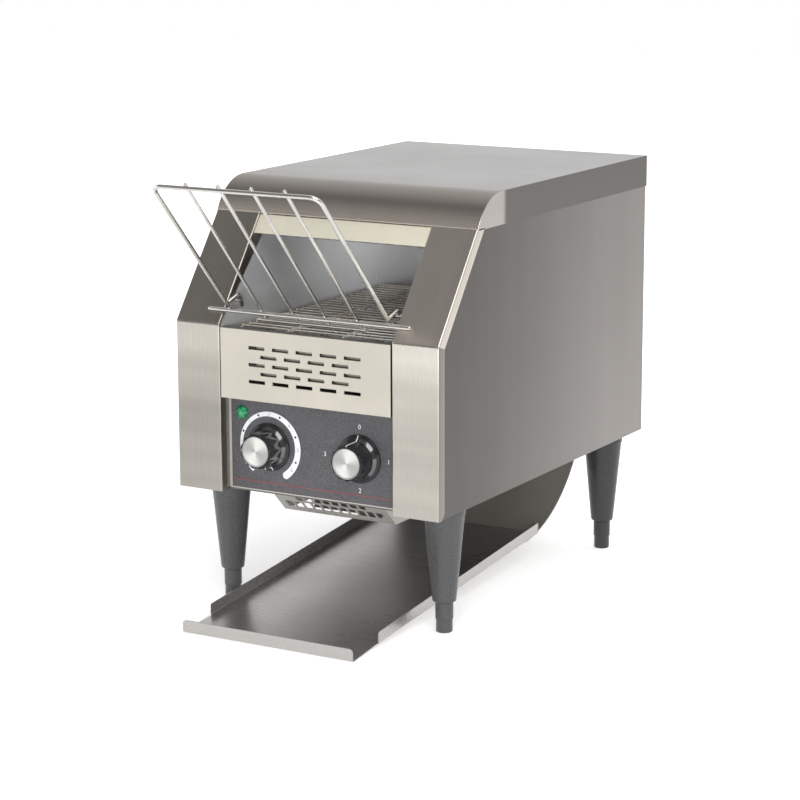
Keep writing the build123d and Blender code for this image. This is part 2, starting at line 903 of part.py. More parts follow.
pot_shaft_end = control_back + potentiometer_length / 2
switch_shaft_end = control_back + switch_length / 2
save(knob(speed_x, speed_pointer_angle), "speed_knob")
save(knob(mode_x, mode_pointer_angle), "mode_knob")
save(knob_cap(speed_x), "speed_knob_cap")
save(knob_cap(mode_x), "mode_knob_cap")
save(control_shaft(speed_x, pot_shaft_end), "speed_shaft")
save(control_shaft(mode_x, switch_shaft_end), "mode_shaft")

with BuildSketch() as potentiometer_profile:
    Circle(potentiometer_radius)
    with Locations((0, -potentiometer_radius)):
        Rectangle(potentiometer_radius, potentiometer_radius)
with BuildSketch() as switch_profile:
    Rectangle(switch_size, switch_size)
    chamfer(vertices(), switch_corner)
save(
    control_body(
        speed_x, potentiometer_profile.sketch, potentiometer_length, pot_shaft_end
    ),
    "speed_potentiometer",
)
save(
    control_body(mode_x, switch_profile.sketch, switch_length, switch_shaft_end),
    "mode_switch",
)

with BuildPart() as control_nuts:
    with BuildSketch(front_plane(control_front)):
        with Locations(*knob_places):
            RegularPolygon(nut_width / 2, 6, major_radius=False)
            Circle(bushing_radius, mode=Mode.SUBTRACT)
    extrude(amount=nut_thickness)
save(control_nuts, "control_nuts")

# ---- Conveyor belt: ladder of rungs with rows of links between them -----------------------------
slot_run = belt_pitch - rung_diameter
bay_opening = bay_pitch - link_width
belt_middle = (front_roller_depth + rear_roller_depth) / 2
with BuildPart() as conveyor_belt:
    with BuildSketch(side_plane(0)):
        with Locations((belt_middle, roller_height)):
            SlotCenterToCenter(straight_rungs * belt_pitch, 2 * belt_outer_radius)
            SlotCenterToCenter(
                straight_rungs * belt_pitch, 2 * belt_inner_radius, mode=Mode.SUBTRACT
            )
    extrude(amount=belt_half_width, both=True)
    for bay in (-1, 0, 1):
        with BuildSketch(side_plane(bay * bay_pitch)):
            with Locations((belt_middle, roller_height)):
                with GridLocations(belt_pitch, 2 * pitch_radius, straight_rungs - 1, 2):
                    Rectangle(slot_run, 2 * rung_diameter)
            for place, start in zip(roller_places, (90, -90)):
                with Locations(place):
                    with PolarLocations(
                        pitch_radius,
                        roller_teeth // 2 + 1,
                        start_angle=start,
                        angular_range=180,
                        endpoint=True,
                    ):
                        Rectangle(2 * rung_diameter, slot_run)
        extrude(amount=bay_opening / 2, both=True, mode=Mode.SUBTRACT)
save(conveyor_belt, "conveyor_belt")


# ---- Conveyor shafts, their sprockets and the bushes in the inner walls -------------------------
def toothed_profile(root_radius, tip_radius, teeth, tooth, bore):
    """Side view of a wheel with straight teeth, one of them pointing up."""
    with BuildSketch() as profile:
        Circle(root_radius)
        with PolarLocations(root_radius, teeth, start_angle=90):
            Rectangle(2 * (tip_radius - root_radius), tooth)
        Circle(bore, mode=Mode.SUBTRACT)
    return profile.sketch


sprocket_radius = belt_inner_radius - running_gap
belt_tooth_profile = toothed_profile(
    sprocket_radius - tooth_height,
    sprocket_radius,
    roller_teeth,
    tooth_width,
    conveyor_shaft_radius,
)


def belt_sprockets(place):
    with BuildPart() as group:
        for bay in (-1, 0, 1):
            with BuildSketch(side_plane(bay * bay_pitch - sprocket_width / 2)):
                with Locations(place):
                    add(belt_tooth_profile)
            extrude(amount=sprocket_width)
    return group


def round_bar(place, low_x, high_x, radius):
    with BuildPart() as bar:
        with BuildSketch(side_plane(low_x)):
            with Locations(place):
                Circle(radius)
        extrude(amount=high_x - low_x)
    return bar


idler_place, drive_place = roller_places
bush_end = wall_outer + bush_length
chain_line = wall_outer + gearbox_length + chain_gap + chain_width / 2
save(belt_sprockets(drive_place), "drive_sprockets")
save(belt_sprockets(idler_place), "idler_sprockets")
save(
    round_bar(
        drive_place,
        -bush_end - shaft_overhang,
        chain_line + chain_width / 2 + shaft_overhang,
        conveyor_shaft_radius,
    ),
    "drive_shaft",
)
save(
    round_bar(
        idler_place,
        -bush_end - shaft_overhang,
        bush_end + shaft_overhang,
        conveyor_shaft_radius,
    ),
    "idler_shaft",
)

with BuildPart() as shaft_bushes:
    for side in (-1, 1):
        with BuildSketch(side_plane(side * wall_inner)):
            with Locations(*roller_places):
                Circle(bush_radius)
        extrude(amount=side * (sheet + bush_length))
        with BuildSketch(side_plane(side * wall_outer)):
            with Locations(*roller_places):
                Circle(bush_radius + bush_rim)
        extrude(amount=side * bush_flange)
    with BuildSketch(side_plane(0)):
        with Locations(*roller_places):
            Circle(conveyor_shaft_radius + shaft_gap)
    extrude(amount=body_half_width, both=True, mode=Mode.SUBTRACT)
save(shaft_bushes, "shaft_bushes")

# ---- Gear motor on the right inner wall, chain and chain sprockets -------------------------------
motor_depth = rear_roller_depth + motor_behind_roller
motor_place = (motor_depth, roller_height - motor_below_roller)
with BuildPart() as gear_motor:
    with BuildSketch(side_plane(wall_outer)):
        with Locations((motor_depth, motor_place[1] - motor_can_drop / 2)):
            SlotCenterToCenter(motor_can_drop, 2 * gearbox_radius, rotation=90)
    extrude(amount=gearbox_length)
    with BuildSketch(side_plane(wall_outer + gearbox_length)):
        with Locations((motor_depth, motor_place[1] - motor_can_drop)):
            Circle(motor_can_radius)
    extrude(amount=side_inner - motor_side_gap - wall_outer - gearbox_length)
    with BuildSketch(side_plane(wall_outer + sheet)):
        with Locations(motor_place):
            Circle(motor_shaft_radius + shaft_gap)
    extrude(amount=gearbox_length, mode=Mode.SUBTRACT)
save(gear_motor, "gear_motor")


def chain_wheel(place, bore):
    chain_tooth_profile = toothed_profile(
        chain_sprocket_radius - chain_tooth,
        chain_sprocket_radius,
        chain_sprocket_teeth,
        chain_tooth,
        bore,
    )
    with BuildPart() as wheel:
        with BuildSketch(side_plane(chain_line - chain_sprocket_width / 2)):
            with Locations(place):
                add(chain_tooth_profile)
        extrude(amount=chain_sprocket_width)
    return wheel


save(chain_wheel(drive_place, conveyor_shaft_radius), "drive_chain_sprocket")
save(chain_wheel(motor_place, motor_shaft_radius), "motor_chain_sprocket")
save(
    round_bar(
        motor_place,
        wall_outer + 2 * sheet,
        chain_line + chain_width / 2,
        motor_shaft_radius,
    ),
    "motor_shaft",
)

chain_run = (motor_place[0] - drive_place[0], motor_place[1] - drive_place[1])
chain_middle = (
    (motor_place[0] + drive_place[0]) / 2,
    (motor_place[1] + drive_place[1]) / 2,
)
chain_inner = chain_sprocket_radius + running_gap
with BuildPart() as drive_chain:
    with BuildSketch(side_plane(chain_line - chain_width / 2)):
        with Locations(chain_middle):
            centres = sqrt(chain_run[0] ** 2 + chain_run[1] ** 2)
            tilt = degrees(atan2(chain_run[1], chain_run[0]))
            SlotCenterToCenter(centres, 2 * (chain_inner + chain_thickness), rotation=tilt)
            SlotCenterToCenter(centres, 2 * chain_inner, rotation=tilt, mode=Mode.SUBTRACT)
    extrude(amount=chain_width)
save(drive_chain, "drive_chain")

# ---- Cooling fan under the opening of the base plate, inside the guard ---------------------------
fan_low = body_bottom - fan_height
with BuildPart() as fan_housing:
    with BuildSketch(level_plane(fan_low)):
        with Locations((0, fan_depth)):
            RectangleRounded(fan_size, fan_size, fan_corner)
            Circle(fan_bore, mode=Mode.SUBTRACT)
    extrude(amount=fan_height)
    with BuildSketch(level_plane(body_bottom - hub_plate)):
        with Locations((0, fan_depth)):
            Circle(hub_radius)
            for angle in (0, 90):
                Rectangle(2 * fan_bore + sheet, hub_arm, rotation=angle)
            Circle(fan_pin_radius + shaft_gap, mode=Mode.SUBTRACT)
    extrude(amount=hub_plate)
save(fan_housing, "fan_housing")

rotor_top = body_bottom - hub_plate - running_gap
with BuildPart() as fan_rotor:
    with BuildSketch(level_plane(rotor_top - hub_height)):
        with Locations((0, fan_depth)):
            Circle(hub_radius)
    extrude(amount=hub_height)
    with BuildSketch(level_plane(rotor_top)):
        with Locations((0, fan_depth)):
            Circle(fan_pin_radius)
    extrude(amount=hub_plate)
    blade_length = fan_bore - blade_gap - hub_radius + sheet
    with Locations(level_plane(rotor_top - hub_height / 2)):
        with Locations((0, fan_depth)):
            with PolarLocations(hub_radius - sheet + blade_length / 2, blades):
                Box(blade_length, blade_chord, blade_thickness, rotation=(blade_angle, 0, 0))
save(fan_rotor, "fan_rotor")

# ---- Air guard: perforated sloping front and two cheeks under the base plate ---------------------
guard_low = (guard_front + guard_run, body_bottom - guard_drop)
guard_length = sqrt(guard_run**2 + guard_drop**2)
guard_back = fan_depth + fan_size / 2 + guard_overhang
guard_plane = Plane(
    origin=(0, front_y + guard_front, body_bottom),
    x_dir=(1, 0, 0),
    z_dir=(0, -guard_drop, -guard_run),
)
with BuildPart() as air_guard:
    with BuildSketch(guard_plane):
        with Locations((0, 0)):
            Rectangle(2 * guard_half_width, guard_length, align=(Align.CENTER, Align.MAX))
    extrude(amount=-sheet)
    with BuildSketch(level_plane(body_bottom)):
        with Locations((0, guard_front)):
            Rectangle(
                2 * body_half_width, guard_run, align=(Align.CENTER, Align.CENTER)
            )
    extrude(amount=2 * sheet, mode=Mode.SUBTRACT)
    for side in (-1, 1):
        with BuildSketch(side_plane(side * guard_half_width)):
            outline(
                [
                    (guard_front, body_bottom),
                    guard_low,
                    (guard_back, guard_low[1]),
                    (guard_back, body_bottom),
                ]
            )
        extrude(amount=-side * sheet)
    with BuildSketch(guard_plane):
        for down, count in guard_rows:
            with Locations((0, -down)):
                with GridLocations(guard_hole_pitch, guard_hole_pitch, count, 1):
                    RectangleRounded(*guard_hole, guard_hole_corner)
    extrude(amount=-2 * sheet, mode=Mode.SUBTRACT)
save(air_guard, "air_guard")

# ---- Toast chute: upright behind the belt, then curving forward to its lip under the tray ---------
chute_top = chute_axis_height + chute_back_height


def on_chute(angle, radius):
    """Depth and height at an angle from straight below the chute's axis, towards the back."""
    turn = radians(angle)
    return (
        chute_axis_depth + radius * sin(turn),
        chute_axis_height - radius * cos(turn),
    )


with BuildPart() as chute_sheet:
    with BuildSketch(side_plane(0)):
        outer = chute_radius + sheet
        half_turn = (90 + chute_lip_angle) / 2
        with BuildLine():
            ThreePointArc(
                on_chute(chute_lip_angle, chute_radius),
                on_chute(half_turn, chute_radius),
                on_chute(90, chute_radius),
            )
            Polyline(
                on_chute(90, chute_radius),
                (chute_back, chute_top),
                (chute_back + sheet, chute_top),
                on_chute(90, outer),
            )
            ThreePointArc(
                on_chute(90, outer),
                on_chute(half_turn, outer),
                on_chute(chute_lip_angle, outer),
            )
            Line(
                on_chute(chute_lip_angle, outer),
                on_chute(chute_lip_angle, chute_radius),
            )
        make_face()
    extrude(amount=chute_half_width, both=True)
    with BuildSketch(front_plane(chute_back)):
        with Locations((0, (chute_axis_height + chute_top) / 2)):
            Rectangle(2 * wall_inner, chute_top - chute_axis_height)
    extrude(amount=-sheet)
save(chute_sheet, "chute_sheet")

# ---- Bread tray: folded sheet from the counter up to the lip of the chute --------------------------
tray_half_width = post_inner - tray_side_gap
tray_back = chute_axis_depth + tray_on_chute
tray_wall_front = tray_front + tray_open_front
chute_under_tray = chute_axis_height - sqrt(chute_radius**2 - tray_on_chute**2)
tray_rise = chute_under_tray / (tray_back - tray_front)


def on_tray(depth, over):
    """Depth and height of a point over the underside of the tray."""
    return (depth, running_gap + tray_rise * (depth - tray_front) + over)


with BuildPart() as bread_tray:
    with BuildSketch(side_plane(0)):
        outline(
            [
                on_tray(tray_front, 0),
                on_tray(tray_front, sheet),
                on_tray(tray_back, sheet),
                on_tray(tray_back, 0),
            ]
        )
    extrude(amount=tray_half_width, both=True)
    for side in (-1, 1):
        with BuildSketch(side_plane(side * tray_half_width)):
            outline(
                [
                    on_tray(tray_wall_front, 0),
                    on_tray(tray_wall_front + tray_wall_corner, tray_wall),
                    on_tray(tray_back, tray_wall),
                    on_tray(tray_back, 0),
                ]
            )
        extrude(amount=-side * sheet)
    with BuildSketch(front_plane(tray_front)):
        with Locations((0, on_tray(tray_front, 0)[1])):
            Rectangle(2 * tray_half_width, tray_lip, align=(Align.CENTER, Align.MIN))
        fillet(vertices().sort_by(Axis.Y)[-2:], tray_lip_corner)
    extrude(amount=-sheet)
save(bread_tray, "bread_tray")


# ---- Bread rack: bent wire frame, bread wires and two cross bars, welded; hooks over the studs ----
def wire(points, radius, bends):
    """Adds a round wire along the points, with a bend radius for each corner, to the part."""
    with BuildLine() as path:
        if bends:
            FilletPolyline(*points, radius=bends)
        else:
            Polyline(*points)
    with BuildSketch(Plane(origin=path.line @ 0, z_dir=path.line % 0)) as section:
        Circle(radius)
    sweep(section.sketch, path=path.wires()[0])


rack_half_width = post_inner - rack_side_gap
stud_place = on_slope(stud_along, stud_behind)
hook_reach = stud_radius + running_gap + frame_wire  # from the studs' axis to the hooks' wire
arm_foot = on_rack(hook_start, frame_rise)
arm_run = (stud_place[0] - arm_foot[0], stud_place[1] - arm_foot[1])
arm_length = sqrt(arm_run[0] ** 2 + arm_run[1] ** 2)
arm_tilt = atan2(arm_run[1], arm_run[0]) + asin(hook_reach / arm_length)
arm_end = sqrt(arm_length**2 - hook_reach**2) + hook_reach


def on_arm(along, below):
    """Depth and height of a point along a hook's arm and below it."""
    return (
        arm_foot[0] + cos(arm_tilt) * along + sin(arm_tilt) * below,
        arm_foot[1] + sin(arm_tilt) * along - cos(arm_tilt) * below,
    )


frame_half = [
    on_arm(arm_end, hook_reach + hook_tail),
    on_arm(arm_end, 0),
    arm_foot,
    on_rack(rack_length, frame_rise),
]
frame_bends = [hook_reach, frame_wire + 1, rack_corner]
with BuildPart() as wire_rack:
    wire(
        [at(rack_half_width, point) for point in frame_half]
        + [at(-rack_half_width, point) for point in reversed(frame_half)],
        frame_wire,
        frame_bends + frame_bends[::-1],
    )
    for half, along in ((post_inner + long_bar_rest, 0), (short_bar_half, -short_bar_drop)):
        place = on_rack(along, 0)
        wire([at(-half, place), at(half, place)], frame_wire, None)
    for index in range(bread_wires):
        x = bread_wire_pitch * (index - (bread_wires - 1) / 2)
        over_bar = frame_wire + bread_wire - running_gap
        wire(
            [
                at(x, on_rack(-short_bar_drop - frame_wire, over_bar)),
                at(x, on_rack(rack_length + wire_poke, frame_rise + over_bar)),
            ],
            bread_wire,
            None,
        )
save(wire_rack, "wire_rack")

with BuildPart() as rack_studs:
    for side in (-1, 1):
        with BuildSketch(side_plane(side * post_inner)):
            with Locations(stud_place):
                Circle(stud_radius)
        extrude(amount=-side * stud_length)
save(rack_studs, "rack_studs")

# ---- Legs bolted under the base plate, each with a screw-in foot ----------------------------------
for name_x, x in (("left", -leg_x), ("right", leg_x)):
    for name_depth, depth in (("front", leg_front), ("rear", leg_back)):
        axis_plane = Plane(origin=(x, front_y + depth, 0), x_dir=(1, 0, 0), z_dir=(0, -1, 0))
        axis = Axis((x, front_y + depth, 0), (0, 0, 1))
        stem_top = leg_low + foot_stem_length
        bore = foot_stem_radius + foot_stem_gap
        with BuildPart() as leg:
            with BuildSketch(axis_plane):
                outline(
                    [
                        (bore, leg_low),
                        (leg_low_radius, leg_low),
                        (leg_top_radius, body_bottom - leg_collar),
                        (leg_collar_radius, body_bottom - leg_collar),
                        (leg_collar_radius, body_bottom),
                        (leg_bolt_radius, body_bottom),
                        (leg_bolt_radius, body_bottom - leg_bolt_depth),
                        (0, body_bottom - leg_bolt_depth),
                        (0, stem_top + running_gap),
                        (bore, stem_top + running_gap),
                    ]
                )
            revolve(axis=axis)
        save(leg, f"leg_{name_depth}_{name_x}")
        with BuildPart() as foot:
            with BuildSketch(axis_plane):
                outline(
                    [
                        (0, 0),
                        (foot_pad_radius, 0),
                        (foot_pad_radius, foot_pad_height),
                        (foot_neck_radius, foot_pad_height),
                        (foot_neck_radius, leg_low - running_gap),
                        (foot_stem_radius, leg_low - running_gap),
                        (foot_stem_radius, stem_top),
                        (0, stem_top),
                    ]
                )
            revolve(axis=axis)
        save(foot, f"foot_{name_depth}_{name_x}")

with BuildPart() as leg_bolts:
    with BuildSketch(level_plane(floor_top)):
        with Locations(*leg_places):
            RegularPolygon(leg_bolt_head, 6, major_radius=False)
    extrude(amount=leg_bolt_head_height)
    with BuildSketch(level_plane(floor_top)):
        with Locations(*leg_places):
            Circle(leg_bolt_radius)
    extrude(amount=-(sheet + leg_bolt_depth))
save(leg_bolts, "leg_bolts")

# ---- Cord gland, terminal block and screws ---------------------------------------------------------
with BuildPart() as cord_gland:
    with BuildSketch(front_plane(body_depth)):
        with Locations((gland_x, gland_height)):
            RegularPolygon(gland_hex, 6, major_radius=False)
    extrude(amount=-gland_hex_length)
    with BuildSketch(front_plane(body_depth + gland_hex_length)):
        with Locations((gland_x, gland_height)):
            Circle(gland_dome_radius)
    extrude(amount=-(gland_length - gland_hex_length))
    fillet(cord_gland.edges().filter_by(GeomType.CIRCLE).sort_by(Axis.Y)[-1], gland_bore)
    with BuildSketch(front_plane(body_depth)):
        with Locations((gland_x, gland_height)):
            Circle(gland_thread)
    extrude(amount=sheet + gland_tail)
    with BuildSketch(front_plane(rear_face)):
        with Locations((gland_x, gland_height)):
            RegularPolygon(gland_hex, 6, major_radius=False)
    extrude(amount=gland_tail / 2)
    with BuildSketch(front_plane(0)):
        with Locations((gland_x, gland_height)):
            Circle(gland_bore)
    extrude(amount=-2 * body_depth, mode=Mode.SUBTRACT)
save(cord_gland, "cord_gland")

with BuildPart() as terminal_block:
    width, length, height = terminal_block_size
    terminal_place = (gland_x, body_depth - terminal_rear_gap)
    with BuildSketch(level_plane(floor_top)):
        with Locations(terminal_place):
            Rectangle(width, length)
    extrude(amount=height)
    with BuildSketch(level_plane(floor_top + height)):
        with Locations(terminal_place):
            with GridLocations(width / 2, length / terminal_poles, 2, terminal_poles):
                Circle(terminal_hole_radius)
    extrude(amount=-terminal_hole_depth, mode=Mode.SUBTRACT)
save(terminal_block, "terminal_block")

with BuildPart() as case_screws:
    with BuildSketch(front_plane(body_depth)):
        with Locations(*rear_screw_places):
            Circle(screw_head_radius)
    extrude(amount=-screw_head)
    heads = case_screws.edges().filter_by(GeomType.CIRCLE).group_by(Axis.Y)[-1]
    fillet(heads, screw_head / 2)
    with BuildSketch(front_plane(body_depth)):
        with Locations(*rear_screw_places):
            Circle(screw_radius)
    extrude(amount=screw_length)
save(case_screws, "case_screws")
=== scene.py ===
import json
import math

import bpy
import numpy as np
from mathutils import Matrix, Vector

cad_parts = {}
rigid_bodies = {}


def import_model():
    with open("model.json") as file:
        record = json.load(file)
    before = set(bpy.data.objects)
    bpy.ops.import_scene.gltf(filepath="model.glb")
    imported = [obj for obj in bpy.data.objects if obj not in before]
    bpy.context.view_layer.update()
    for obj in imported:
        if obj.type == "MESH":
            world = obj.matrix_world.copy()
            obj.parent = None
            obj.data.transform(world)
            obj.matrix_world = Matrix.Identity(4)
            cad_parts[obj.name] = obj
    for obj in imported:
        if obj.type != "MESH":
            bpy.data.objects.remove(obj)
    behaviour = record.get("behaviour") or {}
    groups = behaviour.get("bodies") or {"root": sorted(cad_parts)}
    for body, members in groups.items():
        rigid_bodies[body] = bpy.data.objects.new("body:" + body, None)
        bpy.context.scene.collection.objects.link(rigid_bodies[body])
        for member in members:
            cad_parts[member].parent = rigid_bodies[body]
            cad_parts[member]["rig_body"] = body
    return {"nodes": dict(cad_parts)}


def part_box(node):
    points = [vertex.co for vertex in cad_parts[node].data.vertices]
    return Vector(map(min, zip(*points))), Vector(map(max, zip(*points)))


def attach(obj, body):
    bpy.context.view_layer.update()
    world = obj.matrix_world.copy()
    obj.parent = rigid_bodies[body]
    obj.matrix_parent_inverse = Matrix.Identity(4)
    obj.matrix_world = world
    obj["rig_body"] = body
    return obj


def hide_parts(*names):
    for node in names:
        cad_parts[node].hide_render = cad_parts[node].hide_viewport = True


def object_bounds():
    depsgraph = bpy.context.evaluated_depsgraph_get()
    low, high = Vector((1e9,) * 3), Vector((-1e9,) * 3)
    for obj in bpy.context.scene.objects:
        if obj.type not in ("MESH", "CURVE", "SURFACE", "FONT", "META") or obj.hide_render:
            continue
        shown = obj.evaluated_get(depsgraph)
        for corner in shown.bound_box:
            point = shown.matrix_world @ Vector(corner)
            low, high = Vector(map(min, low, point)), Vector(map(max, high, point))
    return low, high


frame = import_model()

bl_info = {
    "name": "Conveyor toaster",
    "version": (1, 0, 0),
    "blender": (4, 5, 0),
    "location": "View3D > Sidebar > Toaster",
    "description": "Dresses the conveyor toaster with finished sheet, wire, knobs and light",
    "category": "Add Mesh",
}

# Metres, +Z up, front towards -Y, right-hand side +X, as in the frame.
MM = 0.001
NODES = frame["nodes"]
CAD_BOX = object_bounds()
POST_LOW, POST_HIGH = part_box("front_post_right")
COVER_LOW, COVER_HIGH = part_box("top_cover")
FRONT = POST_LOW.y  # front face of the posts; depths run back from it
X_AXIS, Y_AXIS, Z_AXIS = 0, 1, 2

# Places round a knob's axis, in degrees counter-clockwise from the right.
POINTERS = {"speed": 228.0, "mode": 90.0}
SPEED_TICKS = (262, 284)
START_MARK = (222.0, 234.0)
SCALE_DOTS = (157, 112.6, 67.9, 23, -22.7)
SPEED_FIGURES = (178, 134.8, 90.2, 45.4, 0.1, -39)
MODE_FIGURES = (("0", 90, 28.4), ("1", 0, 29.5), ("2", -90, 29.3), ("3", 180, 36.0))  # and mm out

# The speed knob's ticks as (radius, height) and the belt's hook as (x, along, out), in mm.
TICK = ((21.4, 2.1), (19.7, 2.7), (18.7, 3.6), (17.7, 4.6))
HOOK_PITCH = 11.3  # distance between the rungs that the hook is drawn for
HOOK = (
    (-4.2, 0, 0), (-2.8, 1.2, 0.45), (-2.2, 8.3, 0.8), (-1.8, 10.6, 0.75), (-1.3, 12.6, 0.1),
    (-0.9, 11.4, -0.75), (-0.5, 8.6, -0.8), (0.4, 1.6, -0.5), (1.6, 0, 0),
)

# The lamp lens, ring by ring: share of its radius, share of its dome, turn in facets. The
# first ring lies at the lens's tail.
LENS_RINGS = (
    (0.77, None, 0), (0.77, 0.0, 0), (1.0, 0.0, 0), (1.0, 0.35, 0),
    (0.78, 0.75, 0.5), (0.42, 0.96, 0.0), (0.16, 1.0, 0.5),
)

# Area lamps: setting with the power, size and place in metres, and whether steel mirrors them.
LAMPS = (
    ("key", (2.0, 1.4), (1.25, -1.5, 2.1), True),
    ("overhead", (1.6, 1.6), (0.2, 0.8, 2.3), True),
    ("fill", (1.4, 1.4), (-2.3, -1.0, 0.7), True),
    ("front", (1.2, 0.6), (1.3, -2.5, 0.45), False),
)
CAMERA_PLACE = (1.1654, -2.0085, 0.6778)
FLOOR_GLOW = {"From Min": 0.35, "From Max": 1.1, "To Min": 0.38, "To Max": 1.0}  # by metres away
WALL_START, WALL_END = -0.3, 0.6  # share along +Y at which the backdrop starts and is full


# ---- Sizes and colours that a user may change ------------------------------------------------
def length(name, description, millimetres):
    return bpy.props.FloatProperty(
        name=name, description=description, default=millimetres * MM, unit="LENGTH", precision=5
    )


def colour(name, description, red, green, blue):
    return bpy.props.FloatVectorProperty(
        name=name, description=description, default=(red, green, blue),
        subtype="COLOR", min=0.0, max=1.0,
    )


def angle(name, description, degrees):
    return bpy.props.FloatProperty(
        name=name, description=description, default=math.radians(degrees), subtype="ANGLE"
    )


def share(name, description, value):
    return bpy.props.FloatProperty(
        name=name, description=description, default=value, min=0.0, max=1.0, subtype="FACTOR"
    )


def strength(name, description, value):
    return bpy.props.FloatProperty(name=name, description=description, default=value, min=0.0)


def count(name, description, value):
    return bpy.props.IntProperty(name=name, description=description, default=value, min=1)


class ToasterSheetSettings(bpy.types.PropertyGroup):
    """Folded sheet of the casing and of the tray."""

    thickness: length("Thickness", "Thickness of the folded sheet", 1.0)
    bend: length("Bend", "Outer radius of the folds", 1.6)
    nose_radius: length("Nose", "Radius of the cover's rounded nose", 49.0)
    outer_return: length("Outer return", "Depth of the posts' outer flange", 10.0)
    inner_return: length("Inner return", "Depth of the posts' inner flange below the knee", 14.0)
    flange_foot: length("Flange foot", "Depth of the inner flange at the knee", 2.5)
    flange_head: length("Flange head", "Depth of the inner flange under the cover", 18.0)
    knee_over_vent: length("Knee", "Height of the knee over the vent panel", 2.4)
    cover_lip: length("Cover lip", "Depth of the cover's front lip", 8.0)
    tray_lip: length("Tray lip", "Height of the tray's front lip", 11.5)
    tray_wall: length("Tray wall", "Height of the tray's side walls", 11.0)
    tray_open_front: length("Tray mouth", "Floor in front of the tray's side walls", 44.0)
    tray_corner: length("Tray corner", "Corner radius of the tray's lip", 3.5)
    tray_wall_corner: length("Wall corner", "Corner radius of the tray's side walls", 1.8)


class ToasterControlSettings(bpy.types.PropertyGroup):
    """Knobs, lamp and print of the control panel."""

    skirt: length("Skirt", "Height of the skirt at its rim", 1.9)
    skirt_radius: length("Skirt radius", "Radius of the skirt's rim", 22.0)
    cone_radius: length("Cone radius", "Radius at which the skirt's cone starts", 19.6)
    cone_start: length("Cone start", "Height at which the skirt's cone starts", 2.6)
    grip_start: length("Grip start", "Height at which the grip begins", 5.6)
    grip_radius: length("Grip radius", "Radius of the grip at its foot", 16.6)
    grip_top: length("Grip top", "Radius of the grip at its front", 16.2)
    cap_radius: length("Cap radius", "Radius of the knob's cap", 13.9)
    flutes: count("Flutes", "Number of finger grooves round the grip", 12)
    flute_depth: length("Flute depth", "Depth of the finger grooves", 1.1)
    lens_facets: count("Lens facets", "Facets round the pilot lens", 10)
    scale_radius: length("Scale radius", "Middle radius of the printed speed scale", 30.0)
    scale_start: angle("Scale start", "Thin end of the speed scale, from the right", 200.0)
    scale_end: angle("Scale end", "Wide end of the speed scale, from the right", -55.0)
    scale_thin: length("Scale thin", "Width of the scale at its thin end", 2.6)
    scale_wide: length("Scale wide", "Width of the scale at its wide end", 6.6)
    figure_height: length("Figures", "Height of the printed figures", 4.4)
    print_height: length("Print", "How far the print stands proud", 0.06)


class ToasterWireSettings(bpy.types.PropertyGroup):
    """Wires of the belt, the rack and the heating coils."""

    belt_wire: length("Belt wire", "Diameter of the belt's wire", 1.75)
    belt_rungs: count("Rungs", "Rungs of the whole belt", 56)
    belt_bays: count("Bays", "Bays between the belt's rows of bends", 3)
    frame_wire: length("Rack frame", "Diameter of the rack's frame and bars", 4.0)
    bread_wire: length("Bread wire", "Diameter of the wires that carry the bread", 3.0)
    rack_lean: angle("Rack lean", "Lean of the rack from upright, to the front", 43.1)
    rack_length: length("Rack length", "From the long bar to the top bar", 167.6)
    rack_corner: length("Rack corner", "Bend radius of the rack's top corners", 9.0)
    frame_rise: length("Frame rise", "Rack frame over the long bar", 2.5)
    bar_rise: length("Bar rise", "Long bar over the knee, along the slope", 13.9)
    foot_rise: length("Foot rise", "Foot of the hooks' arms over the long bar", 6.0)
    hook_end: length("Hook end", "Straight end of the hooks past the bend", 9.0)
    post_gap: length("Post gap", "From the rack's frame to the posts' inner edges", 6.2)
    short_bar: length("Short bar", "Half length of the short bar", 57.0)
    short_bar_drop: length("Short bar drop", "Short bar below the long bar", 9.0)
    bread_pitch: length("Bread pitch", "Distance between the bread wires", 33.0)
    wire_poke: length("Wire poke", "Bread wires past the top bar", 3.3)
    coil_wire: length("Coil wire", "Diameter of the heating wire", 0.8)
    coil_pitch: length("Coil pitch", "Distance between the turns of a coil", 2.6)


class ToasterStandSettings(bpy.types.PropertyGroup):
    """Legs and feet."""

    bore: length("Bore", "Radius of the leg's bore for the foot", 5.08)
    low_radius: length("Low radius", "Radius of the leg at its lower end", 10.7)
    top_radius: length("Top radius", "Radius of the leg under its collar", 18.4)
    collar: length("Collar", "Height of the collar under the body", 6.0)
    stem_length: length("Stem", "Length of the foot's threaded stem", 40.0)
    pad_radius: length("Pad radius", "Radius of the foot's pad", 7.5)
    pad_height: length("Pad height", "Height of the foot's pad", 12.0)
    thread_pitch: length("Thread pitch", "Pitch of the foot's thread", 1.5)
    thread_depth: length("Thread depth", "Depth of the foot's thread", 0.5)


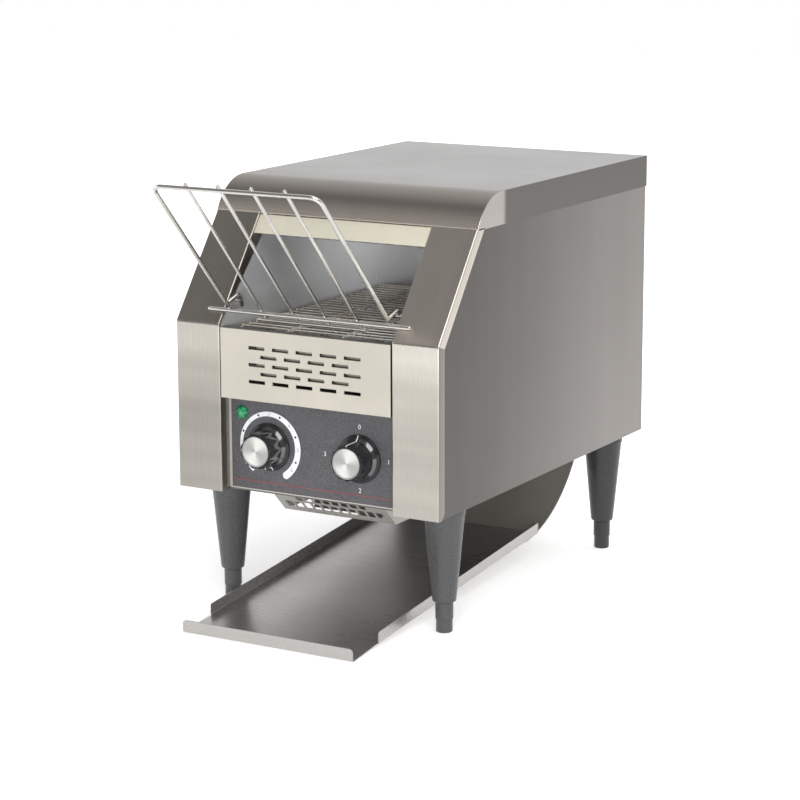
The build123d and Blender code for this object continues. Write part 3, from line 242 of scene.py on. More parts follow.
class ToasterColourSettings(bpy.types.PropertyGroup):
    """Colours of the finishes."""

    post_steel: colour("Posts", "Brushed steel of the posts", 0.57, 0.54, 0.487)
    # Painted shade: a darker copy of the posts' steel for their slopes.
    slope_steel: colour("Slopes", "Brushed steel of the posts over the knee", 0.30, 0.275, 0.245)
    # Painted shade: a darker copy of the posts' steel for their outer returns.
    return_steel: colour("Returns", "Steel of the posts' outer flanges", 0.235, 0.215, 0.19)
    panel_steel: colour("Sides", "Brushed steel of the sides and the back", 0.208, 0.193, 0.182)
    cover_steel: colour("Cover", "Brushed steel of the cover", 0.36, 0.355, 0.35)
    vent_steel: colour("Vent panel", "Satin steel of the vent panel", 0.59, 0.56, 0.49)
    strip_steel: colour("Strip", "Satin steel of the strip over the bread entry", 0.66, 0.62, 0.51)
    inner_steel: colour("Inside", "Bare steel inside", 0.96, 0.965, 0.985)
    sooty_steel: colour("Soot", "Steel under the belt", 0.11, 0.10, 0.09)
    tray_steel: colour("Tray", "Steel of the tray", 0.43, 0.415, 0.40)
    chute_steel: colour("Chute", "Steel of the chute", 0.25, 0.235, 0.21)
    guard_steel: colour("Guard", "Satin steel of the air guard and the panel", 0.40, 0.385, 0.355)
    rack_wire: colour("Rack", "Polished wire of the rack", 0.56, 0.55, 0.53)
    belt_wire: colour("Belt", "Heat-tinted wire of the belt", 0.97, 0.94, 0.89)
    overlay: colour("Overlay", "Dark film on the control panel", 0.060, 0.058, 0.063)
    print_white: colour("White print", "Scale and figures", 0.60, 0.60, 0.63)
    print_red: colour("Red print", "Thin line under the controls", 0.21, 0.045, 0.05)
    knob_black: colour("Knobs", "Glossy plastic of the knobs", 0.012, 0.012, 0.013)
    cap_aluminium: colour("Caps", "Spun aluminium of the knobs' caps", 0.64, 0.64, 0.62)
    pilot_green: colour("Lamp", "Green lens of the pilot lamp", 0.010, 0.22, 0.085)
    leg_plastic: colour("Legs", "Dark grey plastic of the legs", 0.034, 0.0345, 0.036)


class ToasterStageSettings(bpy.types.PropertyGroup):
    """Floor, light and camera."""

    floor_size: length("Floor", "Side of the square floor", 12000.0)
    floor_shine: strength("Floor shine", "Brightness of the floor in the steel", 0.45)
    backdrop: strength("Backdrop", "Brightness of the white wall behind", 1.0)
    room: strength("Room", "Brightness of the studio in front", 0.28)
    key: strength("Key", "Power of the key lamp, in watts", 38.0)
    overhead: strength("Overhead", "Power of the lamp above, in watts", 10.0)
    fill: strength("Fill", "Power of the side lamp, in watts", 12.0)
    front: strength("Front", "Power of the lamp by the camera, in watts", 80.0)
    azimuth: angle("Azimuth", "Camera's angle round the object", 30.0547)
    elevation: angle("Elevation", "Camera's angle over the floor", 12.1347)
    roll: angle("Roll", "Camera's turn about its line of sight", 0.1886)
    focal: strength("Focal length", "Focal length for a 36 mm sensor, in mm", 113.9)


SETTINGS = {
    "toaster_sheet": ToasterSheetSettings,
    "toaster_controls": ToasterControlSettings,
    "toaster_wire": ToasterWireSettings,
    "toaster_stand": ToasterStandSettings,
    "toaster_colours": ToasterColourSettings,
    "toaster_stage": ToasterStageSettings,
}


# ---- Shapes --------------------------------------------------------------------------------
def unit(vectors):
    """Each vector divided by its length."""
    return vectors / np.linalg.norm(vectors, axis=-1, keepdims=True)


def rounded(points, radii, steps=6):
    """A line with arcs for corners. Each arc's centre lies on the bisector of its corner at
    radius / sin(half the corner's angle), and its points turn evenly from one run to the next.
    """
    points = np.asarray(points, float)
    corner, before, after = points[1:-1], points[:-2], points[2:]
    back, on = unit(before - corner), unit(after - corner)
    half = np.arccos(np.clip((back * on).sum(-1), -1, 1)) / 2
    radii = np.broadcast_to(np.asarray(radii, float), half.shape)
    middle, across = unit(back + on), unit(on - back)
    centre = corner + middle * (radii / np.sin(half))[:, None]
    turn = (np.pi / 2 - half)[:, None] * np.linspace(-1, 1, steps + 1)
    arcs = centre[:, None] + radii[:, None, None] * (
        across[:, None] * np.sin(turn)[..., None] - middle[:, None] * np.cos(turn)[..., None]
    )
    return np.concatenate([points[:1], arcs.reshape(-1, points.shape[1]), points[-1:]])


def closed_rounded(points, radii, steps=6):
    """A closed outline with arcs for corners, as rounded() makes them."""
    points = np.asarray(points, float)
    around = np.concatenate([points[-1:], points, points[:1]])
    return rounded(around, radii, steps)[1:-1]


def ring_faces(rings, sides):
    """Quads between neighbouring rings of `sides` points each, numbered ring by ring."""
    here = np.arange(sides)
    there = np.roll(here, -1)
    row = np.arange(rings - 1)[:, None] * sides
    quads = np.stack([row + here, row + there, row + sides + there, row + sides + here], -1)
    return quads.reshape(-1, 4)


def pole_faces(rings, sides):
    """Triangles that close the first and the last ring onto two points numbered after them."""
    here = np.arange(sides)
    there = np.roll(here, -1)
    top, pole = (rings - 1) * sides, rings * sides
    start = np.stack([np.full(sides, pole), there, here], -1)
    end = np.stack([np.full(sides, pole + 1), top + here, top + there], -1)
    return np.concatenate([start, end])


def lathe(profile, segments, flute=None):
    """Surface of revolution: a point at height h and angle a lies at (r cos a, r sin a, h),
    where r is the profile's radius, less what flute(a, r, h) takes away. The profile starts
    and ends on the axis, and both poles are single points.
    """
    profile = np.asarray(profile, float)
    turn = np.linspace(0, 2 * np.pi, segments, endpoint=False)
    radius, height = profile[1:-1, 0][:, None], profile[1:-1, 1][:, None]
    if flute is not None:
        radius = radius - flute(turn, radius, height)
    rows = len(profile) - 2
    height = np.broadcast_to(height, (rows, segments))
    rings = np.stack([radius * np.cos(turn), radius * np.sin(turn), height], -1)
    poles = [[0, 0, profile[0, 1]], [0, 0, profile[-1, 1]]]
    faces = ring_faces(rows, segments).tolist() + pole_faces(rows, segments).tolist()
    return np.concatenate([rings.reshape(-1, 3), poles]), faces


def tubes(paths, radius, lean, sides=10):
    """Round wires: a circle carried along each path, square to it. The circle's axes are the
    cross products of the path's direction with the fixed vector `lean`, which no run follows.
    Both ends are closed with small domes.
    """
    paths = np.asarray(paths, float)
    ahead = unit(np.gradient(paths, axis=1))
    dome = np.sin(np.linspace(0, np.pi / 2, 4))[1:]
    reach = radius * (1 - np.cos(np.arcsin(dome)))
    start = paths[:, :1] + ahead[:, :1] * reach[None, :, None]
    end = paths[:, -1:] - ahead[:, -1:] * reach[::-1][None, :, None]
    line = np.concatenate([start, paths[:, 1:-1], end], axis=1)
    along = np.concatenate(
        [np.repeat(ahead[:, :1], 3, 1), ahead[:, 1:-1], np.repeat(ahead[:, -1:], 3, 1)], axis=1
    )
    size = np.concatenate([dome, np.ones(paths.shape[1] - 2), dome[::-1]]) * radius
    out = unit(np.cross(along, np.broadcast_to(unit(np.asarray(lean, float)), along.shape)))
    up = np.cross(along, out)
    turn = np.linspace(0, 2 * np.pi, sides, endpoint=False)[:, None]
    circle = out[:, :, None] * np.cos(turn) + up[:, :, None] * np.sin(turn)
    rings = line[:, :, None] + circle * size[None, :, None, None]
    strands, stations = rings.shape[:2]
    points = np.concatenate([rings.reshape(strands, -1, 3), paths[:, :1], paths[:, -1:]], axis=1)
    shift = (np.arange(strands) * (stations * sides + 2))[:, None, None]
    quads, ends = ring_faces(stations, sides), pole_faces(stations, sides)
    faces = (quads + shift).reshape(-1, 4).tolist() + (ends + shift).reshape(-1, 3).tolist()
    return points.reshape(-1, 3), faces


def strokes(line, thickness, turns):
    """Thin round bars along a line of (radius, height) pairs, one at each angle about the axis."""
    path = np.column_stack([line[:, 0], np.zeros(len(line)), line[:, 1]])
    points, faces = tubes(path[None], thickness / 2, (0.0, 1.0, 0.0), 8)
    spins = [np.array(Matrix.Rotation(turn, 3, "Z")).T for turn in turns]
    return joined([(points @ spin, faces) for spin in spins])


def slab(outline, low, high):
    """Flat plate: the outline, counter-clockwise in its first two coordinates, from the height
    low to high."""
    outline = np.asarray(outline, float)
    size = len(outline)
    levels = [np.column_stack([outline, np.full(size, level)]) for level in (low, high)]
    here = np.arange(size)
    there = np.roll(here, -1)
    sides = np.stack([here, there, there + size, here + size], -1).tolist()
    return np.concatenate(levels), sides + [here[::-1].tolist(), (here + size).tolist()]


def joined(shapes):
    """Several (points, faces) pairs as one."""
    points, faces, start = [], [], 0
    for some_points, some_faces in shapes:
        points.append(some_points)
        faces += [[start + index for index in face] for face in some_faces]
        start += len(some_points)
    return np.concatenate(points), faces


def placed(shape, axes, place):
    """The shape with its own x, y and z laid along the rows of axes, moved to place."""
    points, faces = shape
    return points @ np.asarray(axes, float) + np.asarray(place, float), faces


FACING_FRONT = ((1, 0, 0), (0, 0, 1), (0, -1, 0))  # a shape's x, y, z as seen on the front
UPRIGHT = ((1, 0, 0), (0, 1, 0), (0, 0, 1))


def piece(name, shape, finish, body, smooth_below=40.0):
    """A new mesh object at the origin that rides on a body; edges bent further stay sharp."""
    points, faces = shape
    mesh = bpy.data.meshes.new(name)
    mesh.from_pydata(np.asarray(points).tolist(), [], faces)
    mesh.validate()
    if smooth_below > 0:
        mesh.shade_smooth()
        mesh.set_sharp_from_angle(angle=math.radians(smooth_below))
    mesh.materials.append(finish)
    made = bpy.data.objects.new(name, mesh)
    bpy.context.scene.collection.objects.link(made)
    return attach(made, body)


def body_of(node):
    """Name of the body that a node of the frame rides on."""
    return NODES[node]["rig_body"]


def replace(node, shape, finish, smooth_below=40.0):
    """A new piece that stands for a node of the frame, on the same body."""
    made = piece(f"{node}_finished", shape, finish, body_of(node), smooth_below)
    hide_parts(node)
    return made


def folded(made, settings):
    """Gives a shell of flat faces its bend radii and its thickness, inwards."""
    bevel = made.modifiers.new("bends", "BEVEL")
    bevel.width = settings.bend
    bevel.segments = 4
    bevel.limit_method = "ANGLE"
    bevel.angle_limit = math.radians(30)
    wall = made.modifiers.new("sheet", "SOLIDIFY")
    wall.thickness = settings.thickness
    wall.offset = -1
    wall.use_even_offset = True
    flats = made.modifiers.new("flats", "WEIGHTED_NORMAL")
    flats.weight = 80
    flats.keep_sharp = False


def centres(node, gap):
    """Places (y, z) of a node's round bars along X: its end points, split where they lie more
    than gap apart in height and then in depth, each group at the middle of its extent."""
    coordinates = np.empty(len(NODES[node].data.vertices) * 3, np.float32)
    NODES[node].data.vertices.foreach_get("co", coordinates)
    coordinates = coordinates.reshape(-1, 3)
    ends = coordinates[coordinates[:, 0] > coordinates[:, 0].max() - gap / 10][:, 1:]
    places = []
    for level in split(ends, 1, gap):
        for bar in split(level, 0, gap):
            places.append((bar.min(0) + bar.max(0)) / 2)
    return np.array(places)


def split(points, column, gap):
    """The points in groups with more than gap between them along a column."""
    points = points[np.argsort(points[:, column])]
    breaks = np.nonzero(np.diff(points[:, column]) > gap)[0] + 1
    return np.split(points, breaks)


# ---- Finishes ------------------------------------------------------------------------------
class Finish:
    """One material, with short names for the nodes that all of them use."""

    def __init__(self, name, base, metallic=0.0, roughness=0.5, **sockets):
        self.material = bpy.data.materials.new(name)
        self.material.use_nodes = True
        self.nodes = self.material.node_tree.nodes
        self.links = self.material.node_tree.links
        self.shader = self.nodes["Principled BSDF"]
        self.base = base
        self.set(self.shader, {"Base Color": (*base, 1.0), "Metallic": metallic})
        self.set(self.shader, {"Roughness": roughness, **sockets})

    def set(self, node, inputs):
        for key, value in inputs.items():
            if isinstance(value, bpy.types.NodeSocket):
                self.links.new(value, node.inputs[key])
            else:
                node.inputs[key].default_value = value
        return node

    def add(self, kind, inputs, **settings):
        node = self.nodes.new(kind)
        for key, value in settings.items():
            setattr(node, key, value)
        return self.set(node, inputs)

    def place(self, size, turn=(0, 0, 0), middle=(0, 0, 0)):
        """Object coordinates from `middle`, along axes that are turned, over a size in metres."""
        source = self.add("ShaderNodeTexCoord", {}).outputs["Object"]
        mapping = self.add(
            "ShaderNodeMapping",
            {"Vector": source, "Scale": size, "Rotation": turn, "Location": middle},
            vector_type="TEXTURE",
        )
        return mapping.outputs["Vector"]

    def noise(self, size, detail=3.0, rough=0.5, turn=(0, 0, 0)):
        """Cloudy pattern; size is a blob's size in metres, or its sizes along three axes."""
        sizes = (size,) * 3 if isinstance(size, float) else size
        node = self.add(
            "ShaderNodeTexNoise",
            {"Vector": self.place(sizes, turn), "Scale": 1.0, "Detail": detail, "Roughness": rough},
        )
        return node.outputs["Fac"]

    def ranged(self, value, low, high, lowest=0.3, highest=0.7):
        """The value's middle range stretched to low and high."""
        span = {"From Min": lowest, "From Max": highest, "To Min": low, "To Max": high}
        node = self.add(
            "ShaderNodeMapRange", {"Value": value, **span}, interpolation_type="SMOOTHSTEP"
        )
        return node.outputs["Result"]

    def mixed(self, first, second, factor, mode="MIX"):
        """Two colours mixed by a pattern; 0, 6 and 7 are the mix node's factor and colours."""
        mix = self.add("ShaderNodeMix", {}, data_type="RGBA", blend_type=mode)
        return self.set(mix, {0: factor, 6: first, 7: second}).outputs[2]

    def shaded(self, tone, factor):
        """A colour times a grey factor."""
        grey = self.add("ShaderNodeCombineColor", {"Red": factor, "Green": factor, "Blue": factor})
        return self.mixed(tone, grey.outputs["Color"], 1.0, "MULTIPLY")

    def graded(self, axis, start, end, first, last):
        """Factor that runs from first to last between two places along an axis."""
        source = self.add("ShaderNodeTexCoord", {}).outputs["Object"]
        parts = self.add("ShaderNodeSeparateXYZ", {"Vector": source})
        return self.ranged(parts.outputs[axis], first, last, start, end)

    def with_painted_shading(self, tone, painted_shading):
        """Painted light and shade: the tone times factors that change along an axis, each as (axis,
        start, end, factor at the start, factor at the end), with a painted tint for the start as a
        sixth entry."""
        for axis, start, end, first, last, *tint in painted_shading:
            tone = self.shaded(tone, self.graded(axis, start, end, first, last))
            if tint:
                share_of_end = self.graded(axis, start, end, 0.0, 1.0)
                wash = self.mixed((*tint[0], 1.0), (1.0, 1.0, 1.0, 1.0), share_of_end)
                tone = self.mixed(tone, wash, 1.0, "MULTIPLY")
        return tone

    def tinted(self, pattern, dark, light):
        """Base colour between dark and light times the base, by a pattern from 0 to 1."""
        shades = [
            (*(min(1.0, part * factor) for part in self.base), 1.0) for factor in (dark, light)
        ]
        return self.mixed(shades[0], shades[1], pattern)

    def colour(self, value):
        self.links.new(value, self.shader.inputs["Base Color"])

    def roughness(self, value):
        self.links.new(value, self.shader.inputs["Roughness"])

    def relief(self, layers, edge=0.0):
        """Bumps, one on top of another, as (pattern, height in metres, strength) layers, over
        edges that are softened to the radius `edge`."""
        normal = None
        if edge > 0:
            bevel = self.add("ShaderNodeBevel", {"Radius": edge}, samples=6)
            normal = bevel.outputs["Normal"]
        for pattern, height, amount in layers:
            bump = self.add(
                "ShaderNodeBump", {"Height": pattern, "Distance": height, "Strength": amount}
            )
            if normal is not None:
                self.links.new(normal, bump.inputs["Normal"])
            normal = bump.outputs["Normal"]
        self.links.new(normal, self.shader.inputs["Normal"])


def brushed(name, base, grain, rough=0.30, streak=0.025, band=0.03, across=None, fine=0.6 * MM,
            edge=0.6 * MM, turn=(0, 0, 0), metallic=1.0, painted_shading=(), uneven=0.05):
    """Brushed steel: fine streaks along the axis `grain`, soft bands of tone along the axis
    `across` and a slight unevenness of the sheet; its grades along an axis paint light and shade
    into the tone."""
    finish = Finish(name, base, metallic=metallic, roughness=rough)
    thin, wide = [fine] * 3, [30 * MM] * 3
    thin[grain] = 200 * MM
    wide[grain if across is None else across] = 500 * MM
    streaks = finish.noise(thin, detail=2.0, turn=turn)
    bands = finish.noise(wide, detail=2.0, turn=turn)
    clouds = finish.noise(90 * MM)
    tone = finish.tinted(finish.ranged(bands, 0, 1), 1 - band, 1 + band)
    tone = finish.shaded(tone, finish.ranged(streaks, 1 - streak, 1 + streak))
    finish.colour(finish.with_painted_shading(tone, painted_shading))
    fine_spread = finish.ranged(streaks, -0.02, 0.02)
    wide_spread = finish.ranged(clouds, rough - 0.02, rough + 0.02)
    spread = finish.add("ShaderNodeMath", {0: fine_spread, 1: wide_spread}, operation="ADD")
    finish.roughness(spread.outputs["Value"])
    waves = finish.noise(160 * MM, detail=1.0)
    finish.relief([(waves, 1.2 * MM, uneven), (streaks, 0.02 * MM, 0.05)], edge)
    return finish.material


def satin(name, base, rough=0.42, edge=0.6 * MM, metallic=1.0, painted_shading=()):
    """Satin steel with a fine even grain; its grades along an axis paint light and shade into the
    tone.
    """
    finish = Finish(name, base, metallic=metallic, roughness=rough)
    grain = finish.noise(0.5 * MM, detail=2.0)
    clouds = finish.noise(70 * MM)
    finish.colour(finish.with_painted_shading(finish.tinted(finish.ranged(clouds, 0, 1), 0.96, 1.04), painted_shading))
    finish.roughness(finish.ranged(grain, rough - 0.05, rough + 0.07))
    finish.relief([(grain, 0.02 * MM, 0.2)], edge)
    return finish.material


def drawn_wire(name, base, rough, tint, metallic=1.0):
    """Round wire: drawing marks along it and a heat tint in patches."""
    finish = Finish(name, base, metallic=metallic, roughness=rough)
    patches = finish.noise(26 * MM, detail=4.0)
    marks = finish.noise(1.1 * MM, detail=2.0)
    scorched = tuple(part * scale for part, scale in zip(base, tint)) + (1.0,)
    finish.colour(finish.mixed((*base, 1.0), scorched, finish.ranged(patches, 0, 1)))
    finish.roughness(finish.ranged(patches, rough - 0.05, rough + 0.12))
    finish.relief([(marks, 0.02 * MM, 0.3)])
    return finish.material


def speckled(name, base, rough=0.5, contrast=0.45, grain_size=1.0 * MM, painted_shading=()):
    """Printed or moulded surface with a fine speckle; its grades along an axis paint light and
    shade into the tone.
    """
    finish = Finish(name, base, roughness=rough)
    grain = finish.noise(grain_size, detail=2.0, rough=0.7)
    clouds = finish.noise(45 * MM)
    tone = finish.tinted(finish.ranged(grain, 0, 1), 1 - contrast, 1 + contrast)
    finish.colour(finish.with_painted_shading(finish.shaded(tone, finish.ranged(clouds, 0.94, 1.05)), painted_shading))
    finish.roughness(finish.ranged(grain, rough - 0.08, rough + 0.1))
    finish.relief([(grain, 0.04 * MM, 0.3)], 0.3 * MM)
    return finish.material


def glossy_plastic(name, base, reflection_span):
    """Moulded glossy plastic: faint flow marks, rub marks and finger haze. Its reflections are
    full between the two given places along Y and turned down in front of them and behind, as
    painted shade."""
    finish = Finish(name, base, roughness=0.12, IOR=1.62)
    near, far = reflection_span
    shine = finish.add(
        "ShaderNodeMath",
        {0: finish.graded(Y_AXIS, near, near + 0.8 * MM, 0.2, 1.0),
         1: finish.graded(Y_AXIS, far - 0.8 * MM, far, 1.0, 0.2)},
        operation="MULTIPLY",
    )
    finish.links.new(shine.outputs["Value"], finish.shader.inputs["Specular IOR Level"])
    haze = finish.noise(8 * MM, detail=5.0)
    flow = finish.noise(2 * MM, detail=2.0)
    finish.colour(finish.tinted(finish.ranged(haze, 0, 1), 0.8, 1.5))
    finish.roughness(finish.ranged(haze, 0.07, 0.15))
    finish.relief([(flow, 0.03 * MM, 0.12)], 0.25 * MM)
    return finish.material


def spun(name, base):
    """Spun aluminium: turning marks are rings by the radius, and light draws out across them.
    Two bright and two dark sectors round the axis are painted highlights, and the tone is darker
    towards the rim.
    """
    finish = Finish(name, base, metallic=1.0, roughness=0.24, Anisotropic=0.85)
    lathe_map = finish.add("ShaderNodeUVMap", {}, uv_map="lathe")
    tangent = finish.add("ShaderNodeTangent", {}, direction_type="UV_MAP", uv_map="lathe")
    finish.set(finish.shader, {"Tangent": tangent.outputs["Tangent"]})
    rings = finish.add(
        "ShaderNodeMapping", {"Vector": lathe_map.outputs["UV"], "Scale": (0.0, 130.0, 1.0)}
    )
    marks = finish.add(
        "ShaderNodeTexNoise", {"Vector": rings.outputs["Vector"], "Scale": 1.0, "Detail": 3.0}
    ).outputs["Fac"]
    parts = finish.add("ShaderNodeSeparateXYZ", {"Vector": lathe_map.outputs["UV"]})
    # Painted highlight: the tone rises and falls twice round the cap, in bright and dark sectors.
    angle = finish.add(
        "ShaderNodeMath", {0: parts.outputs["X"], 1: 4 * math.pi, 2: -math.pi / 6},
        operation="MULTIPLY_ADD",
    )
    fan = finish.add("ShaderNodeMath", {0: angle.outputs["Value"]}, operation="SINE")
    painted_sectors = finish.ranged(fan.outputs["Value"], 0.62, 1.0, -1.0, 1.0)
    rim = finish.ranged(parts.outputs["Y"], 1.0, 0.72, 0.86, 0.97)
    tone = finish.tinted(finish.ranged(marks, 0, 1), 0.86, 1.05)
    finish.colour(finish.shaded(finish.shaded(tone, painted_sectors), rim))
    finish.roughness(finish.ranged(marks, 0.18, 0.28))
    finish.relief([(marks, 0.02 * MM, 0.25)])
    return finish.material


def lens_glass(name, base):
    """Tinted lamp lens with a faint glow from behind."""
    finish = Finish(
        name, base, roughness=0.06,
        **{"IOR": 1.55, "Coat Weight": 0.2, "Coat Roughness": 0.03, "Emission Color": (*base, 1.0)},
    )
    ripple = finish.noise(3 * MM, detail=2.0)
    finish.colour(finish.tinted(finish.ranged(ripple, 0, 1), 0.3, 1.15))
    finish.roughness(finish.ranged(ripple, 0.05, 0.12))
    finish.set(finish.shader, {"Emission Strength": 0.04})
    finish.relief([(ripple, 0.08 * MM, 0.25)])
    return finish.material


def quartz(name):
    """Translucent quartz with a milky haze."""
    finish = Finish(
        name, (0.93, 0.93, 0.95), roughness=0.25, **{"Transmission Weight": 0.85, "IOR": 1.46}
    )
    haze = finish.noise((16 * MM, 3 * MM, 3 * MM), detail=4.0)
    finish.roughness(finish.ranged(haze, 0.15, 0.4))
    finish.colour(finish.tinted(finish.ranged(haze, 0, 1), 0.93, 1.0))
    return finish.material


def paint(nodes, finish):
    """Gives nodes of the frame, named in one string, their finish."""
    for node in nodes.split():
        mesh = NODES[node].data
        mesh.materials.clear()
        mesh.materials.append(finish)


# ---- Operators -------------------------------------------------------------------------------
class PieceOperator(bpy.types.Operator):
    bl_options = {"REGISTER", "UNDO"}

    def execute(self, context):
        self.build(context.scene)
        return {"FINISHED"}


def slope(sheet):
    """The posts' sloping front: the knee and the shoulder as (y, z), and the unit vectors up
    the slope and behind it."""
    knee = np.array([FRONT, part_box("vent_panel")[1].z + sheet.knee_over_vent])
    shoulder = np.array([COVER_LOW.y, COVER_LOW.z + sheet.thickness])
    up = unit(shoulder - knee)
    return knee, shoulder, up, np.array([up[1], -up[0]])


class TOASTER_OT_casing(PieceOperator):
    """Folds the cover and the posts and brushes the casing's sheets"""

    bl_idname = "toaster.casing"
    bl_label = "Casing"

    def build(self, scene):
        sheet, colours = scene.toaster_sheet, scene.toaster_colours
        knee, _, up, _ = slope(sheet)
        lean = math.atan2(up[0], up[1])
        nose, inner = COVER_LOW.y, POST_LOW.x
        cover = brushed(
            "cover_steel", colours.cover_steel, X_AXIS, uneven=0.025,
            # Painted light: a bright band along the nose's lower front, then painted shade with a
            # warm painted reflection over the nose, full tone on the top.
            painted_shading=[(Y_AXIS, nose, nose + 14 * MM, 2.7, 0.85),
                   (Y_AXIS, nose + 28 * MM, nose + 90 * MM, 0.76, 1.0, (1.0, 0.92, 0.83))],
        )
        cheek = brushed(
            "cheek_steel", colours.panel_steel, Y_AXIS, rough=0.34,
            # Painted shade: the cover's cheeks take the sides' darker steel instead of the cover's,
            # with a painted light zone at their front that drops to darker behind.
            painted_shading=[(Y_AXIS, nose + 45 * MM, nose + 54 * MM, 2.15, 0.68)],
        )
        self.cover(sheet, cover, cheek)
        upright = brushed(
            "post_steel", colours.post_steel, Z_AXIS, rough=0.27, band=0.09, across=X_AXIS,
            # Painted shade: the posts darken towards the bottom below the knee and towards the left
            # post.
            painted_shading=[(Z_AXIS, knee[1] - 70 * MM, knee[1] - 8 * MM, 0.69, 1.02),
                   (X_AXIS, -inner, inner, 0.84, 1.0)],
        )
        leaning = brushed(
            "slope_steel", colours.slope_steel, Z_AXIS, rough=0.3, turn=(-lean, 0, 0),
            # Painted shade: the slopes take a darker copy of the posts' steel, with painted light
            # that grows towards the right post.
            painted_shading=[(X_AXIS, -inner, inner, 1.25, 2.0)],
        )
        # Painted shade: the outer returns take a darker copy of the posts' steel.
        turned_back = brushed("return_steel", colours.return_steel, Z_AXIS, rough=0.3)
        self.posts(sheet, upright, leaning, turned_back)
        side = brushed(
            "side_steel", colours.panel_steel, Z_AXIS, rough=0.34,
            # Painted shade: the side panels are darker towards the front and lighter towards the
            # back.
            painted_shading=[(Y_AXIS, FRONT, CAD_BOX[1].y, 0.5, 1.3)],
        )
        paint("side_panel_left side_panel_right", side)
        back = brushed("back_steel", colours.panel_steel, X_AXIS, rough=0.36)
        paint("rear_panel base_plate", back)
        strip = satin("strip_steel", colours.strip_steel, rough=0.4, metallic=0.5)
        paint("cross_strip", strip)
        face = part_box("vent_panel")[0].y
        vent = satin(
            "vent_steel", colours.vent_steel,
            # Painted shade: the vent panel darkens to half its tone behind its front face, in its
            # slots.
            painted_shading=[(Y_AXIS, face + 0.7 * MM, face + 1.6 * MM, 1.0, 0.5)],
        )
        paint("vent_panel", vent)
        bare = satin("bare_steel", colours.guard_steel, rough=0.45, metallic=0.4)
        paint("control_panel air_guard", bare)
        wall = satin(
            "wall_steel", colours.inner_steel, rough=0.45, metallic=0.1,
            # Painted light and shade: the inner walls are darker towards the front and full bright
            # towards the rear.
            painted_shading=[(Y_AXIS, FRONT + 90 * MM, FRONT + 260 * MM, 0.33, 1.0)],
        )
        paint("inner_wall_left inner_wall_right", wall)
        bright = satin("reflector_steel", colours.inner_steel, rough=0.4, metallic=0.3)
        paint("upper_reflector", bright)
        sooty = satin("sooty_steel", colours.sooty_steel, rough=0.5, metallic=0.6)
        paint("lower_reflector heat_shield", sooty)

    def cover(self, sheet, finish, cheek):
        """The side view's outline is an arc for the nose and straight runs for the top and the
        rear flange; it is carried across the width, and both cheeks close it."""
        low, high = COVER_LOW, COVER_HIGH
        radius = sheet.nose_radius
        shoulder = low.z + sheet.thickness
        reach = math.acos((shoulder - high.z + radius) / radius)
        centre_y, centre_z = low.y + radius * math.sin(reach), high.z - radius
        bend = np.linspace(reach, 0, 25)
        nose = np.column_stack([centre_y - radius * np.sin(bend), centre_z + radius * np.cos(bend)])
        side = np.concatenate([nose, [(high.y, high.z), (high.y, low.z)]])
        size = len(side)
        points = np.concatenate(
            [np.column_stack([np.full(size, x), side]) for x in (low.x, high.x)]
        )
        here = np.arange(size - 1)
        top = np.stack([here, here + size, here + size + 1, here + 1], -1).tolist()
        corner = [[low.x, low.y, low.z], [high.x, low.y, low.z]]
        points = np.concatenate([points, corner])
        left = [2 * size] + list(range(size))
        right = [2 * size + 1] + list(range(2 * size - 1, size - 1, -1))
        made = replace("top_cover", (points, top + [left, right]), finish, 25.0)
        made.data.materials.append(cheek)
        for polygon in made.data.polygons[-2:]:
            polygon.material_index = 1
        folded(made, sheet)
        self.lip(sheet, finish, shoulder, low)

    def lip(self, sheet, finish, level, low):
        """Lip along the cover's lower front edge, folded back over the cross strip."""
        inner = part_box("cross_strip")[1].x - sheet.thickness / 2
        front, top = low.y + sheet.thickness / 2, level + sheet.thickness
        back = front + sheet.cover_lip
        section = closed_rounded(
            [(front, level), (back, level), (back, top), (front, top)], sheet.thickness * 0.45, 3
        )
        shape = placed(slab(section, -inner, inner), ((0, 1, 0), (0, 0, 1), (1, 0, 0)), (0, 0, 0))
        made = piece("cover_lip", shape, finish, "toaster")

    def posts(self, sheet, upright, leaning, turned_back):
        """Each post is a shell of four flat faces and two flanges that meet at its long edges:
        the lines follow the upright, turn at the knee and follow the slope."""
        knee, shoulder, up, behind = slope(sheet)
        low = POST_LOW.z
        for side, node in ((1, "front_post_right"), (-1, "front_post_left")):
            outer, inner = side * POST_HIGH.x, side * POST_LOW.x
            foot = np.array([FRONT, low])
            edge = [foot, knee, shoulder]
            tuck = sheet.outer_return * up[0] / (1 + up[1])
            outer_line = [
                foot + (sheet.outer_return / 2, 0),
                foot + (sheet.outer_return, sheet.outer_return / 2),
                knee + (sheet.outer_return, -tuck),
                shoulder + (sheet.outer_return / up[1], 0),
            ]
            inner_line = [
                foot + (sheet.inner_return, 0),
                knee + (sheet.inner_return, -sheet.inner_return),
                knee + behind * sheet.flange_foot,
                shoulder + (sheet.flange_head / up[1], 0),
            ]
            lines = [(outer, edge), (inner, edge), (outer, outer_line), (inner, inner_line)]
            points = np.concatenate(
                [np.column_stack([np.full(len(line), x), np.array(line)]) for x, line in lines]
            )
            faces = [[0, 3, 4, 1], [1, 4, 5, 2], [0, 1, 8, 7, 6], [1, 2, 9, 8]]
            faces += [[3, 10, 11, 12, 4], [4, 12, 13, 5]]
            if side > 0:
                faces = [face[::-1] for face in faces]
            made = replace(node, (points, faces), upright, 25.0)
            made.data.materials.append(leaning)
            made.data.materials.append(turned_back)
            for index, slot in ((1, 1), (3, 1), (5, 1), (2, 2)):
                made.data.polygons[index].material_index = slot
            folded(made, sheet)


